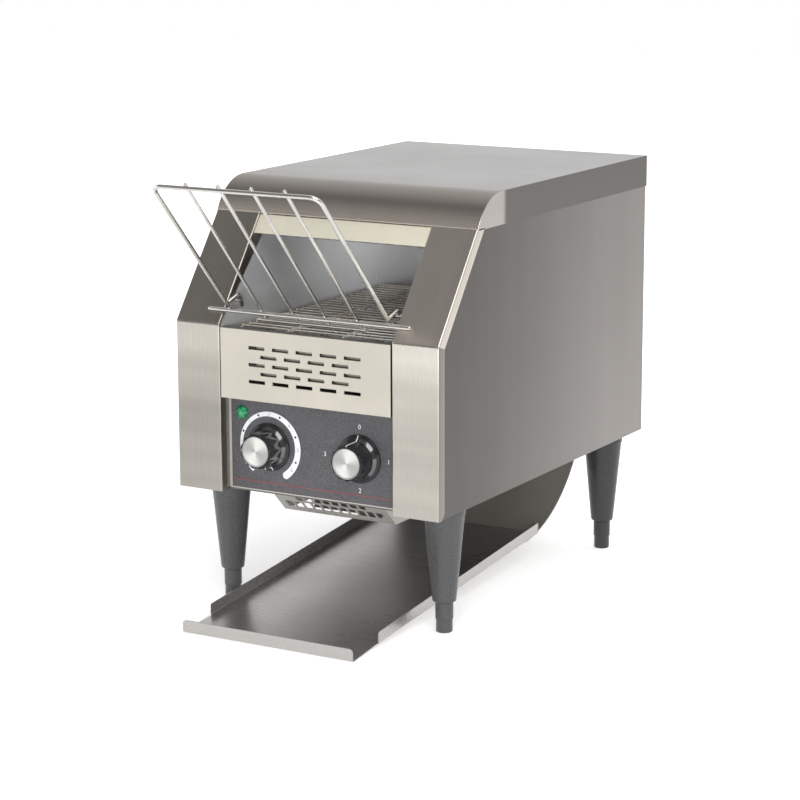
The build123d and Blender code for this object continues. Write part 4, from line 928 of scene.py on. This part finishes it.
def knob_profile(control, length):
    """Knob's outline as (radius, height) pairs, from the end of its bore to its front."""
    bore, seat, cap_seat = (9.5 * MM, 4 * MM), (9.5 * MM, 0), control.cap_radius + 0.3 * MM
    radii = np.array([0.4, 0.5, 0.6, 1.0, 0.8, 0.9, 0.5, 0.1, 0.2]) * MM
    outline = [
        (0, bore[1]),
        bore,
        seat,
        (control.skirt_radius, 0),
        (control.skirt_radius, control.skirt),
        (control.cone_radius, control.cone_start),
        (control.grip_radius, control.grip_start),
        (control.grip_top, length - 0.3 * MM),
        (cap_seat, length),
        (cap_seat, length - 0.8 * MM),
        (0, length - 0.8 * MM),
    ]
    return rounded(outline, radii, 4)


class TOASTER_OT_controls(PieceOperator):
    """Makes the knobs, their caps, the pilot lens and the panel's print"""

    bl_idname = "toaster.controls"
    bl_label = "Controls"

    def build(self, scene):
        control, colours = scene.toaster_controls, scene.toaster_colours
        paint("control_overlay", speckled("overlay_film", colours.overlay))
        knob_low, knob_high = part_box("speed_knob")
        # Painted shade: outside these places along Y the knobs' reflections are turned down, on the
        # front ring and the skirt's rim.
        reflection_span = (knob_low.y + 0.5 * MM, knob_high.y - control.cone_start - 0.1 * MM)
        black = glossy_plastic("knob_plastic", colours.knob_black, reflection_span)
        metal = spun("cap_metal", colours.cap_aluminium)
        white = speckled("white_print", colours.print_white, 0.45, 0.06, 1.1 * MM)
        for name in POINTERS:
            self.knob(name, control, black, metal, white)
        self.lens(control, lens_glass("lamp_lens", colours.pilot_green))
        self.scale(control, white, black)
        self.figures(control, white)
        red = speckled("red_print", colours.print_red, 0.5, 0.1, 1.1 * MM)
        self.red_line(red)

    def knob(self, name, control, black, metal, white):
        """Turned outline with grooves round the grip: the radius shrinks by the groove's depth
        times a power of a cosine of the angle, faded in above the skirt."""
        low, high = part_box(f"{name}_knob")
        centre = (low + high) / 2
        back = high.y
        length = back - low.y
        start = math.radians(POINTERS[name])
        place = (centre.x, back, centre.z)
        rim = control.cap_radius + 0.5 * MM

        def grooves(turn, radius, height):
            wave = 0.5 - 0.5 * np.cos(control.flutes * (turn - start))
            fade = np.clip((height - control.grip_start) / (3 * MM), 0, 1)
            outside = np.clip((radius - rim) / (1.0 * MM), 0, 1)
            return control.flute_depth * wave**1.2 * fade * outside

        turned = lathe(knob_profile(control, length), control.flutes * 12, grooves)
        shape = placed(turned, FACING_FRONT, place)
        replace(f"{name}_knob", shape, black, 45.0)
        line = self.pointer(control, length)
        self.marks(f"{name}_knob_pointer", line, 0.9, [start], white, place)
        if name == "speed":
            ticks = np.radians(SPEED_TICKS)
            self.marks("speed_knob_ticks", np.array(TICK) * MM, 0.8, ticks, white, place)
        self.cap(name, control, metal, centre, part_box(f"{name}_knob_cap")[0].y, back)

    def pointer(self, control, length):
        """Line of (radius, height) pairs up the skirt, its cone and the grip."""
        corners = [
            (control.skirt_radius - 0.4 * MM, control.skirt + 0.1 * MM),
            (control.cone_radius, control.cone_start),
            (control.grip_radius, control.grip_start),
            (control.grip_top + 0.05 * MM, length - 1.0 * MM),
            (control.grip_top - 0.9 * MM, length + 0.02 * MM),
        ]
        return rounded(corners, np.array([0.5, 0.8, 0.5]) * MM, 4)

    def marks(self, name, line, thickness, turns, white, place):
        """White marks on a knob, each along the same line of (radius, height) pairs."""
        shape = placed(strokes(line, thickness * MM, turns), FACING_FRONT, place)
        made = piece(name, shape, white, f"{name.split('_')[0]}_control")

    def cap(self, name, control, metal, centre, front, back):
        """Disc turned about the knob's axis, with a raised rim; its map runs round the axis
        in u and out from it in v."""
        radius = control.cap_radius
        height = back - front
        outline = [
            (0, height - 1.3 * MM),
            (radius, height - 1.3 * MM),
            (radius, height),
            (radius - 0.9 * MM, height),
            (radius - 1.3 * MM, height - 0.15 * MM),
            (0, height - 0.15 * MM),
        ]
        profile = rounded(outline, [0.2 * MM, 0.25 * MM, 0.1 * MM, 0.1 * MM], 3)
        flat = np.linspace(profile[-2, 0], 0.4 * MM, 8)[1:]
        flat = np.column_stack([flat, np.full(len(flat), profile[-1, 1])])
        profile = np.concatenate([profile[:-1], flat, profile[-1:]])
        segments = 96
        shape = placed(lathe(profile, segments), FACING_FRONT, (centre.x, back, centre.z))
        made = replace(f"{name}_knob_cap", shape, metal, 60.0)
        self.lathe_map(made.data, centre, radius)

    def lathe_map(self, mesh, centre, radius):
        """UV map: u is the angle round the axis over a full turn, v the radius over the rim's.
        In a face across the seam the small angles count one turn more, and at the pole the
        angle is the mean of its face's others."""
        loops = np.empty(len(mesh.loops), np.int32)
        mesh.loops.foreach_get("vertex_index", loops)
        points = np.empty(len(mesh.vertices) * 3, np.float32)
        mesh.vertices.foreach_get("co", points)
        offset = points.reshape(-1, 3)[loops] - np.array(centre)
        out = np.hypot(offset[:, 0], offset[:, 2])
        turn = np.arctan2(offset[:, 2], offset[:, 0]) / (2 * np.pi) % 1.0
        starts = np.empty(len(mesh.polygons), np.int32)
        mesh.polygons.foreach_get("loop_start", starts)
        face = np.repeat(np.arange(len(starts)), np.diff(np.append(starts, len(loops))))
        inside = out > 1e-7
        highest = np.zeros(len(starts))
        np.maximum.at(highest, face[inside], turn[inside])
        turn = np.where(inside & (highest[face] - turn > 0.5), turn + 1, turn)
        total, number = np.zeros(len(starts)), np.zeros(len(starts))
        np.add.at(total, face[inside], turn[inside])
        np.add.at(number, face[inside], 1)
        turn = np.where(inside, turn, (total / np.maximum(number, 1))[face])
        lathe_uv = mesh.uv_layers.new(name="lathe")
        spots = np.column_stack([turn, out / radius]).astype(np.float32)
        lathe_uv.data.foreach_set("uv", spots.ravel())

    def lens(self, control, glass):
        """Faceted dome: rings of corners, each ring turned half a facet from the last."""
        low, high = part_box("pilot_lens")
        centre = (low + high) / 2
        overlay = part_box("control_overlay")[0].y
        dome, tail = overlay - low.y, overlay - high.y
        facets, rows = control.lens_facets, len(LENS_RINGS)
        size = np.array([ring[0] for ring in LENS_RINGS])[:, None] * (high.x - low.x) / 2
        height = np.array([tail] + [ring[1] * dome for ring in LENS_RINGS[1:]])[:, None]
        shift = np.array([ring[2] for ring in LENS_RINGS])[:, None] * 2 * np.pi / facets
        around = np.linspace(0, 2 * np.pi, facets, endpoint=False) + shift
        grid = np.stack([size * np.cos(around), size * np.sin(around), height + 0 * around], -1)
        quads = ring_faces(rows, facets)
        faces = quads[:, [0, 1, 3]].tolist() + quads[:, [1, 2, 3]].tolist()
        here = np.arange(facets)
        faces += [here[::-1].tolist(), (here + (rows - 1) * facets).tolist()]
        shape = placed((grid.reshape(-1, 3), faces), FACING_FRONT, (centre.x, overlay, centre.z))
        replace("pilot_lens", shape, glass, 0.0)

    def printed(self, name, shapes, finish, level=1):
        """Print on the overlay, level times the print's height proud of it."""
        height = level * bpy.context.scene.toaster_controls.print_height
        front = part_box("control_overlay")[0].y
        plates = joined([slab(shape, 0.0, height) for shape in shapes])
        made = piece(name, placed(plates, FACING_FRONT, (0, front, 0)), finish, "toaster", 0.0)

    def scale(self, control, white, black):
        """Band round the speed knob: its middle radius stays, and its width grows evenly with
        the angle, with a half circle at the wide end."""
        low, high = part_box("speed_knob")
        centre = np.array([(low.x + high.x) / 2, (low.z + high.z) / 2])
        middle = control.scale_radius
        turn = np.linspace(control.scale_start, control.scale_end, 90)
        width = np.linspace(control.scale_thin, control.scale_wide, 90)[:, None]
        ray = self.rays(turn)
        end_turn = turn[-1] - np.linspace(0, np.pi, 12)[1:-1]
        end = centre + ray[-1] * middle + self.rays(end_turn) * width[-1] / 2
        inner, outer = centre + ray * (middle - width / 2), centre + ray * (middle + width / 2)
        band = np.concatenate([inner, end[::-1], outer[::-1]])
        mark_ray = self.rays(np.radians(np.linspace(*START_MARK, 8)))
        mark_in, mark_out = (centre + mark_ray * radius * MM for radius in (27.6, 30.6))
        self.printed("scale_print", [band, np.concatenate([mark_out, mark_in[::-1]])], white)
        disc = self.rays(np.linspace(0, 2 * np.pi, 20, endpoint=False)) * 1.05 * MM
        dots = [place + disc for place in centre + self.rays(np.radians(SCALE_DOTS)) * middle]
        self.printed("scale_dots", dots, black, 2)

    def rays(self, turn):
        """Unit vectors at the angles."""
        return np.column_stack([np.cos(turn), np.sin(turn)])

    def figures(self, control, white):
        """Plain figures at the four places of the mode knob and along the speed scale."""
        grey = speckled("grey_print", (0.2, 0.2, 0.21), 0.5, 0.1, 1.1 * MM)
        for text, degrees, out in MODE_FIGURES:
            name = f"mode_figure_{text}"
            self.figure(name, text, "mode_knob", degrees, out * MM, control.figure_height, 1, white)
        for index, turn in enumerate(SPEED_FIGURES):
            text, size = str(index + 1), (2.4 + 0.35 * index) * MM
            name = f"speed_figure_{text}"
            self.figure(name, text, "speed_knob", turn, control.scale_radius, size, 2, grey)

    def figure(self, name, text, knob, degrees, out, size, level, finish):
        """A figure, upright, at an angle and a distance from a knob's axis."""
        low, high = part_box(knob)
        control = bpy.context.scene.toaster_controls
        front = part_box("control_overlay")[0].y
        curve = bpy.data.curves.new(name, "FONT")
        curve.body = text
        curve.size = size * 1.35
        curve.align_x = "CENTER"
        curve.align_y = "CENTER"
        curve.extrude = level * control.print_height
        drawn = bpy.data.objects.new(f"{name}_line", curve)
        mesh = bpy.data.meshes.new_from_object(drawn)
        bpy.data.objects.remove(drawn)
        points = np.empty(len(mesh.vertices) * 3, np.float32)
        mesh.vertices.foreach_get("co", points)
        x = (low.x + high.x) / 2 + out * math.cos(math.radians(degrees))
        z = (low.z + high.z) / 2 + out * math.sin(math.radians(degrees))
        points = points.reshape(-1, 3) @ np.array(FACING_FRONT, float) + (x, front, z)
        mesh.vertices.foreach_set("co", points.astype(np.float32).ravel())
        mesh.materials.clear()
        mesh.materials.append(finish)
        made = bpy.data.objects.new(name, mesh)
        bpy.context.scene.collection.objects.link(made)
        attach(made, "toaster")

    def red_line(self, red):
        """Thin line across the overlay, under the controls."""
        low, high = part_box("control_overlay")
        inset, rise, half = 0.5 * MM, 7.4 * MM, 0.35 * MM
        left, right, middle = low.x + inset, high.x - inset, low.z + rise
        low, high = middle - half, middle + half
        line = [(left, low), (right, low), (right, high), (left, high)]
        self.printed("red_line", [line], red)


class TOASTER_OT_conveyor(PieceOperator):
    """Bends the belt's rungs and finishes its rollers and drive"""

    bl_idname = "toaster.conveyor"
    bl_label = "Conveyor"

    def build(self, scene):
        wire, colours = scene.toaster_wire, scene.toaster_colours
        warm = drawn_wire("belt_wire", colours.belt_wire, 0.3, (0.8, 0.74, 0.66), metallic=0.7)
        self.belt(wire, warm)
        steel = brushed(
            "shaft_steel", colours.panel_steel, X_AXIS, rough=0.25, fine=1.4 * MM, edge=0.2 * MM
        )
        paint("drive_shaft idler_shaft motor_shaft", steel)
        paint("drive_sprockets idler_sprockets", steel)
        paint("drive_chain_sprocket motor_chain_sprocket", steel)
        bronze = drawn_wire("bronze", (0.52, 0.33, 0.15), 0.4, (0.8, 0.75, 0.7))
        paint("shaft_bushes", bronze)
        links = drawn_wire("chain_steel", (0.3, 0.28, 0.26), 0.35, (0.7, 0.6, 0.5))
        paint("drive_chain", links)
        motor = speckled("motor_paint", (0.16, 0.17, 0.18), 0.45, 0.2, 1.4 * MM)
        paint("gear_motor", motor)

    def belt(self, wire, finish):
        """Every rung follows the same line in (x, along, out): straight in its bays, and at
        each row of bends a hook that reaches forward over the next rung, round it and back
        under it. `along` runs round the rollers: a length s along a straight run moves the
        point, past its end it turns about the roller's axis by s over the pitch radius."""
        low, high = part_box("conveyor_belt")
        thick, count = wire.belt_wire, wire.belt_rungs
        self.radius = (high.z - low.z) / 2 - thick / 2
        self.front = low.y + (high.z - low.z) / 2
        self.back = high.y - (high.z - low.z) / 2
        self.level = (low.z + high.z) / 2
        half = high.x - thick / 2
        run = self.back - self.front
        whole = 2 * run + 2 * np.pi * self.radius
        pitch = whole / count
        bay = 2 * half / wire.belt_bays
        hook = np.array(HOOK) * MM
        hook[:, 1] *= pitch / (HOOK_PITCH * MM)
        last = hook[:6]
        line = [last[::-1] * (-1, 1, -1) + (-half + 0.8 * MM, 0, 0)]
        for row in range(1, wire.belt_bays):
            line.append(hook + (-half + row * bay, 0, 0))
        line.append(last + (half - 0.8 * MM, 0, 0))
        line = rounded(np.concatenate(line), 0.35 * MM, 2)
        x = np.broadcast_to(line[:, 0], (count, len(line)))
        along = line[:, 1] + np.arange(count)[:, None] * pitch
        paths = self.round_rollers(x, along, line[:, 2], run, whole)
        shape = tubes(paths, thick / 2, (0.31, 0.2, 0.93), 8)
        replace("conveyor_belt", shape, finish, 60.0)

    def round_rollers(self, x, along, out, run, whole):
        """Places on the belt's loop: the top run forward to back, round the rear roller, the
        lower run back to front, and round the front roller."""
        bend = np.pi * self.radius
        along = along % whole
        parts = [along < run, along < run + bend, along < 2 * run + bend]
        past_rear, past_front = along - run, along - 2 * run - bend
        turn = np.select(
            parts, [0, past_rear / self.radius, np.pi], np.pi + past_front / self.radius
        )
        base = np.select(
            parts, [self.front + along, self.back, self.back - (past_rear - bend)], self.front
        )
        reach = self.radius + out
        return np.stack([x, base + reach * np.sin(turn), self.level + reach * np.cos(turn)], -1)


class TOASTER_OT_heating(PieceOperator):
    """Winds the heating coils and finishes the tubes"""

    bl_idname = "toaster.heating"
    bl_label = "Heating"

    def build(self, scene):
        wire = scene.toaster_wire
        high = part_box("heating_coils")[1]
        places = centres("heating_coils", 8 * MM)
        radius = high.z - places[:, 1].max() - wire.coil_wire / 2
        reach = high.x - 2 * MM
        turns = 2 * reach / wire.coil_pitch
        steps = int(turns * 10)
        turn = np.linspace(0, 2 * np.pi * turns, steps)
        x = np.linspace(-reach, reach, steps)
        across, over = radius * np.cos(turn), radius * np.sin(turn)
        paths = np.stack([np.column_stack([x, y + across, z + over]) for y, z in places])
        alloy = drawn_wire("coil_alloy", (0.30, 0.22, 0.18), 0.45, (0.7, 0.6, 0.5))
        shape = tubes(paths, wire.coil_wire / 2, (1, 0, 0), 5)
        replace("heating_coils", shape, alloy, 60.0)
        paint("quartz_tubes", quartz("quartz"))
        ceramic = speckled("ceramic", (0.78, 0.75, 0.68), 0.6, 0.08, 2.0 * MM)
        paint("tube_end_caps", ceramic)


class TOASTER_OT_rack(PieceOperator):
    """Bends and welds the bread rack"""

    bl_idname = "toaster.rack"
    bl_label = "Bread rack"

    def build(self, scene):
        wire = scene.toaster_wire
        bright = drawn_wire("rack_wire", scene.toaster_colours.rack_wire, 0.2, (0.93, 0.92, 0.9))
        lean = np.array([-math.sin(wire.rack_lean), math.cos(wire.rack_lean)])
        over = np.array([math.cos(wire.rack_lean), math.sin(wire.rack_lean)])
        knee, _, up, behind = slope(scene.toaster_sheet)
        bar, thin = wire.frame_wire / 2, wire.bread_wire / 2
        long_bar = knee + up * wire.bar_rise - behind * (bar + 0.3 * MM)
        short_bar = long_bar - lean * wire.short_bar_drop
        top = long_bar + lean * wire.rack_length + over * wire.frame_rise
        half = POST_LOW.x - wire.post_gap
        shapes = [self.frame(wire, half, long_bar, top, lean, over)]
        for reach, place in ((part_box("wire_rack")[1].x, long_bar), (wire.short_bar, short_bar)):
            path = np.array([(share_out * reach, *place) for share_out in (-1, -1 / 3, 1 / 3, 1)])
            shapes.append(tubes(path[None], bar, (0, 0, 1), 16))
        lift = over * (bar + thin - 0.3 * MM)
        first, last = short_bar - lean * bar + lift, top + lean * wire.wire_poke + lift
        steps = np.linspace(0, 1, 6)[:, None]
        wires, welds = [], []
        for index in (-1.5, -0.5, 0.5, 1.5):
            x = index * wire.bread_pitch
            wires.append(np.column_stack([np.full(6, x), first + (last - first) * steps]))
            for place in (short_bar, long_bar, top):
                welds.append((x, *(place + over * (bar + 0.1 * MM))))
        shapes.append(tubes(np.array(wires), thin, (1, 0, 0.2), 12))
        for x in (-half, half):
            welds.append((x, *(long_bar + lean * 0.5 * MM + over * 0.8 * MM)))
        for place in welds:
            shapes.append(placed(self.weld(1.9 * MM), UPRIGHT, place))
        replace("wire_rack", joined(shapes), bright, 60.0)
        studs = brushed(
            "stud_steel", scene.toaster_colours.rack_wire, X_AXIS, rough=0.25, edge=0.3 * MM
        )
        paint("rack_studs", studs)

    def frame(self, wire, half, long_bar, top, lean, over):
        """The frame's wire, from one hook round the top to the other. Each arm runs from its
        foot on a tangent to the circle that the hook bends to round the stud."""
        bar = wire.frame_wire / 2
        stud_low, stud_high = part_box("rack_studs")
        stud = np.array([(stud_low.y + stud_high.y) / 2, (stud_low.z + stud_high.z) / 2])
        foot = long_bar + lean * wire.foot_rise + over * wire.frame_rise
        hook = (stud_high.z - stud_low.z) / 2 + 0.3 * MM + bar
        run = stud - foot
        reach = math.hypot(*run)
        tilt = math.atan2(run[1], run[0]) + math.asin(hook / reach)
        arm = np.array([math.cos(tilt), math.sin(tilt)])
        down = np.array([math.sin(tilt), -math.cos(tilt)])
        end = foot + arm * (math.sqrt(reach**2 - hook**2) + hook)
        side = np.array([end + down * (hook + wire.hook_end), end, foot, top])
        right = np.column_stack([np.full(4, half), side])
        left = np.column_stack([np.full(4, -half), side[::-1]])
        bends = np.array([hook, bar + 1 * MM, wire.rack_corner])
        path = rounded(np.concatenate([right, left]), np.concatenate([bends, bends[::-1]]), 10)
        return tubes(path[None], bar, (0.55, 0.60, 0.58), 16)

    def weld(self, radius):
        """A ball, turned from a half circle."""
        arc = np.linspace(-np.pi / 2, np.pi / 2, 9)
        return lathe(np.column_stack([np.cos(arc), np.sin(arc)]) * radius, 12)


class TOASTER_OT_tray(PieceOperator):
    """Folds the toast tray and finishes the chute"""

    bl_idname = "toaster.tray"
    bl_label = "Toast tray"

    def build(self, scene):
        sheet, colours = scene.toaster_sheet, scene.toaster_colours
        steel = brushed(
            "tray_steel", colours.tray_steel, X_AXIS, rough=0.29, streak=0.012, band=0.02,
            metallic=0.9, uneven=0.0,
        )
        chute = satin("chute_steel", colours.chute_steel, rough=0.45, edge=0.3 * MM, metallic=0.5)
        paint("chute_sheet", chute)
        self.tray(sheet, steel)

    def tray(self, sheet, steel):
        """A floor that rises to the back, two side walls and a front lip. The corners of the
        walls and of the lip are quarter circles."""
        low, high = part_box("bread_tray")
        half, under = high.x, low.z
        rise = (high.z - under - sheet.tray_wall) / (high.y - low.y)
        mouth, back = low.y + sheet.tray_open_front, under + rise * (high.y - low.y)
        corner = np.radians(np.linspace(0, 90, 7))

        def wall(x):
            foot, curve = under + rise * (mouth - low.y), sheet.tray_wall_corner
            rise_y = mouth + curve * (1 - np.cos(corner))
            rise_z = foot + sheet.tray_wall - curve * (1 - np.sin(corner))
            y = np.concatenate([[mouth], rise_y, [high.y]])
            z = np.concatenate([[foot], rise_z, [back + sheet.tray_wall]])
            return np.column_stack([np.full(len(y), x), y, z])

        lip_top, radius = under + sheet.tray_lip, sheet.tray_corner
        side = half - radius + radius * np.cos(corner)
        level = lip_top - radius + radius * np.sin(corner)
        lip = np.column_stack([side, np.full(len(side), low.y), level])
        lip = np.concatenate([lip, lip[::-1] * (-1, 1, 1)])
        base = [
            (-half, low.y, under), (half, low.y, under), (half, high.y, back), (-half, high.y, back)
        ]
        right, left = wall(half), wall(-half)
        points = np.concatenate([np.array(base), right, left, lip])
        first, last = len(base), len(base) + len(right)
        start = last + len(left)
        faces = [
            [0, last, 3, 2, first, 1],
            [first, 2] + list(range(last - 1, first, -1)),
            [3] + list(range(last, start)),
            [0, 1] + list(range(start, len(points))),
        ]
        folded(replace("bread_tray", (points, faces), steel, 25.0), sheet)


class TOASTER_OT_stand(PieceOperator):
    """Turns the legs and the feet"""

    bl_idname = "toaster.stand"
    bl_label = "Legs and feet"

    def build(self, scene):
        stand = scene.toaster_stand
        plastic = speckled(
            "leg_plastic", scene.toaster_colours.leg_plastic, 0.34, 0.25, 0.9 * MM,
            # Painted light: the legs are lighter towards the front and darker towards the rear.
            painted_shading=[(Y_AXIS, FRONT, CAD_BOX[1].y, 1.4, 0.5)],
        )
        for corner in ("front_left", "front_right", "rear_left", "rear_right"):
            self.leg(stand, corner, plastic)
            self.foot(stand, corner, plastic)

    def leg(self, stand, corner, plastic):
        """Cone with a collar, and the bore for the foot's stem."""
        low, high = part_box(f"leg_{corner}")
        centre = (low + high) / 2
        outer = (high.x - low.x) / 2
        outline = [
            (0, low.z + stand.stem_length),
            (stand.bore, low.z + stand.stem_length),
            (stand.bore, low.z),
            (stand.low_radius, low.z),
            (stand.top_radius, high.z - stand.collar),
            (outer, high.z - stand.collar),
            (outer, high.z),
            (0, high.z),
        ]
        profile = rounded(outline, np.array([0.2, 0.3, 1.6, 0.25, 0.25, 0.4]) * MM, 5)
        shape = placed(lathe(profile, 64), UPRIGHT, (centre.x, centre.y, 0))
        replace(f"leg_{corner}", shape, plastic, 50.0)

    def foot(self, stand, corner, plastic):
        """Pad, neck and a stem whose radius waves with the height, one wave per thread."""
        low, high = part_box(f"foot_{corner}")
        centre = (low + high) / 2
        neck = (high.x - low.x) / 2
        shelf = high.z - stand.stem_length - 0.3 * MM
        outline = [
            (0, low.z),
            (stand.pad_radius, low.z),
            (stand.pad_radius, low.z + stand.pad_height),
            (neck, low.z + stand.pad_height + 0.4 * MM),
            (neck, shelf),
            (stand.bore - 0.1 * MM, shelf),
        ]
        profile = rounded(outline, np.array([1.2, 0.3, 0.6, 0.5]) * MM, 4)
        height = np.arange(shelf + 1 * MM, high.z - 1 * MM, stand.thread_pitch / 4)
        wave = 0.5 - 0.5 * np.cos(2 * np.pi * (height - shelf) / stand.thread_pitch)
        thread = np.column_stack([stand.bore - 0.1 * MM - stand.thread_depth * wave, height])
        tip = [(stand.bore - 1.2 * MM, high.z), (0, high.z)]
        turned = lathe(np.concatenate([profile, thread, tip]), 48)
        shape = placed(turned, UPRIGHT, (centre.x, centre.y, 0))
        replace(f"foot_{corner}", shape, plastic, 50.0)


class TOASTER_OT_fittings(PieceOperator):
    """Finishes the fan, the electrical parts and the fasteners"""

    bl_idname = "toaster.fittings"
    bl_label = "Fittings"

    def build(self, scene):
        moulded = speckled("fan_plastic", (0.03, 0.03, 0.032), 0.4, 0.15, 1.1 * MM)
        paint("fan_housing fan_rotor", moulded)
        switch = speckled("switch_plastic", (0.06, 0.06, 0.062), 0.45, 0.15, 1.1 * MM)
        paint("speed_potentiometer mode_switch pilot_housing", switch)
        paint("terminal_block cord_gland", switch)
        screw = brushed(
            "screw_steel", (0.6, 0.59, 0.57), Z_AXIS, rough=0.28, fine=1.1 * MM, edge=0.25 * MM
        )
        paint("control_nuts leg_bolts case_screws", screw)
        paint("speed_shaft mode_shaft", screw)


class TOASTER_OT_stage(PieceOperator):
    """Sets up the floor, the light and the camera"""

    bl_idname = "toaster.stage"
    bl_label = "Stage"

    def build(self, scene):
        stage = scene.toaster_stage
        scene.view_settings.view_transform = "Standard"
        self.floor(stage)
        self.world(scene, stage)
        middle = (CAD_BOX[0] + CAD_BOX[1]) / 2
        for name, size, place, mirrored in LAMPS:
            self.lamp(f"{name}_lamp", getattr(stage, name), size, place, middle, mirrored)
        self.camera(scene, stage)

    def floor(self, stage):
        """Square floor, faintly lit by itself so that it meets the white backdrop."""
        half = stage.floor_size / 2
        points = [(-half, -half, 0), (half, -half, 0), (half, half, 0), (-half, half, 0)]
        finish = Finish("floor_paper", (0.86,) * 3, roughness=0.7, **{"Specular IOR Level": 0.2})
        grain = finish.noise(3.0 * MM)
        finish.colour(finish.tinted(finish.ranged(grain, 0, 1), 0.995, 1.0))
        place = finish.place((1, 1, 1))
        away = finish.add("ShaderNodeVectorMath", {"Vector": place}, operation="LENGTH")
        glow = finish.add(
            "ShaderNodeMapRange", {"Value": away.outputs["Value"], **FLOOR_GLOW},
            interpolation_type="SMOOTHSTEP",
        )
        path = finish.add("ShaderNodeLightPath", {}).outputs
        seen = finish.add(
            "ShaderNodeMath", {0: path["Is Camera Ray"], 1: glow.outputs["Result"]},
            operation="MULTIPLY",
        )
        lift = finish.add(
            "ShaderNodeMath",
            {0: path["Is Glossy Ray"], 1: stage.floor_shine, 2: seen.outputs["Value"]},
            operation="MULTIPLY_ADD",
        )
        finish.set(
            finish.shader,
            {"Emission Color": (1, 1, 1, 1), "Emission Strength": lift.outputs["Value"]},
        )
        mesh = bpy.data.meshes.new("floor")
        mesh.from_pydata(points, [], [[0, 1, 2, 3]])
        mesh.materials.append(finish.material)
        made = bpy.data.objects.new("floor", mesh)
        bpy.context.scene.collection.objects.link(made)

    def world(self, scene, stage):
        """White wall behind the object and a dimmer room in front of it: the brightness rises
        from room to backdrop with the direction's share along +Y. The camera sees white."""
        world = bpy.data.worlds.new("studio")
        world.use_nodes = True
        scene.world = world
        nodes, links = world.node_tree.nodes, world.node_tree.links
        background = nodes["Background"]
        background.inputs["Color"].default_value = (1, 1, 1, 1)
        place = nodes.new("ShaderNodeTexCoord")
        parts = nodes.new("ShaderNodeSeparateXYZ")
        links.new(place.outputs["Generated"], parts.inputs["Vector"])
        spread = nodes.new("ShaderNodeMapRange")
        spread.interpolation_type = "SMOOTHSTEP"
        span = {"From Min": WALL_START, "From Max": WALL_END}
        span.update({"To Min": stage.room, "To Max": stage.backdrop})
        for key, value in span.items():
            spread.inputs[key].default_value = value
        links.new(parts.outputs["Y"], spread.inputs["Value"])
        path = nodes.new("ShaderNodeLightPath")
        seen = nodes.new("ShaderNodeMath")
        seen.operation = "MAXIMUM"
        links.new(path.outputs["Is Camera Ray"], seen.inputs[0])
        links.new(path.outputs["Is Transmission Ray"], seen.inputs[1])
        level = nodes.new("ShaderNodeMix")
        links.new(seen.outputs["Value"], level.inputs[0])
        links.new(spread.outputs["Result"], level.inputs[2])
        level.inputs[3].default_value = 1.0
        links.new(level.outputs[0], background.inputs["Strength"])

    def lamp(self, name, power, size, place, aim, mirrored):
        """Area lamp turned to a point; glossy surfaces don't show it unless it's mirrored."""
        light = bpy.data.lights.new(name, "AREA")
        light.energy = power
        light.shape = "RECTANGLE"
        light.size, light.size_y = size
        made = bpy.data.objects.new(name, light)
        made.location = place
        made.rotation_euler = (aim - Vector(place)).to_track_quat("-Z", "Y").to_euler()
        made.visible_camera = False
        made.visible_glossy = mirrored
        bpy.context.scene.collection.objects.link(made)

    def camera(self, scene, stage):
        """Camera at its place, turned by azimuth and elevation and then about its own axis."""
        data = bpy.data.cameras.new("camera")
        data.sensor_width = 36.0
        data.lens = stage.focal
        data.clip_start, data.clip_end = 0.05, 60.0
        made = bpy.data.objects.new("camera", data)
        flat, tip = math.cos(stage.elevation), math.sin(stage.elevation)
        back = Vector((math.sin(stage.azimuth) * flat, -math.cos(stage.azimuth) * flat, tip))
        right = Vector((0, 0, 1)).cross(back).normalized()
        up = back.cross(right)
        turned = Matrix((right, up, back)).transposed() @ Matrix.Rotation(-stage.roll, 3, "Z")
        made.matrix_world = Matrix.Translation(CAMERA_PLACE) @ turned.to_4x4()
        scene.collection.objects.link(made)
        scene.camera = made


OPERATORS = (
    TOASTER_OT_casing,
    TOASTER_OT_controls,
    TOASTER_OT_conveyor,
    TOASTER_OT_heating,
    TOASTER_OT_rack,
    TOASTER_OT_tray,
    TOASTER_OT_stand,
    TOASTER_OT_fittings,
    TOASTER_OT_stage,
)


class VIEW3D_PT_toaster(bpy.types.Panel):
    """The toaster's settings and the pieces that they make"""

    bl_label = "Conveyor toaster"
    bl_space_type = "VIEW_3D"
    bl_region_type = "UI"
    bl_category = "Toaster"

    def draw(self, context):
        for operator in OPERATORS:
            self.layout.operator(operator.bl_idname)
        for name, group in SETTINGS.items():
            box = self.layout.box()
            for setting in group.__annotations__:
                box.prop(getattr(context.scene, name), setting)


def register():
    for group in SETTINGS.values():
        bpy.utils.register_class(group)
    for name, group in SETTINGS.items():
        setattr(bpy.types.Scene, name, bpy.props.PointerProperty(type=group))
    for operator in OPERATORS:
        bpy.utils.register_class(operator)
    bpy.utils.register_class(VIEW3D_PT_toaster)


def unregister():
    bpy.utils.unregister_class(VIEW3D_PT_toaster)
    for operator in reversed(OPERATORS):
        bpy.utils.unregister_class(operator)
    for name, group in SETTINGS.items():
        delattr(bpy.types.Scene, name)
        bpy.utils.unregister_class(group)


def main():
    register()
    bpy.ops.toaster.casing()
    bpy.ops.toaster.controls()
    bpy.ops.toaster.conveyor()
    bpy.ops.toaster.heating()
    bpy.ops.toaster.rack()
    bpy.ops.toaster.tray()
    bpy.ops.toaster.stand()
    bpy.ops.toaster.fittings()
    bpy.ops.toaster.stage()


if __name__ == "__main__":
    main()
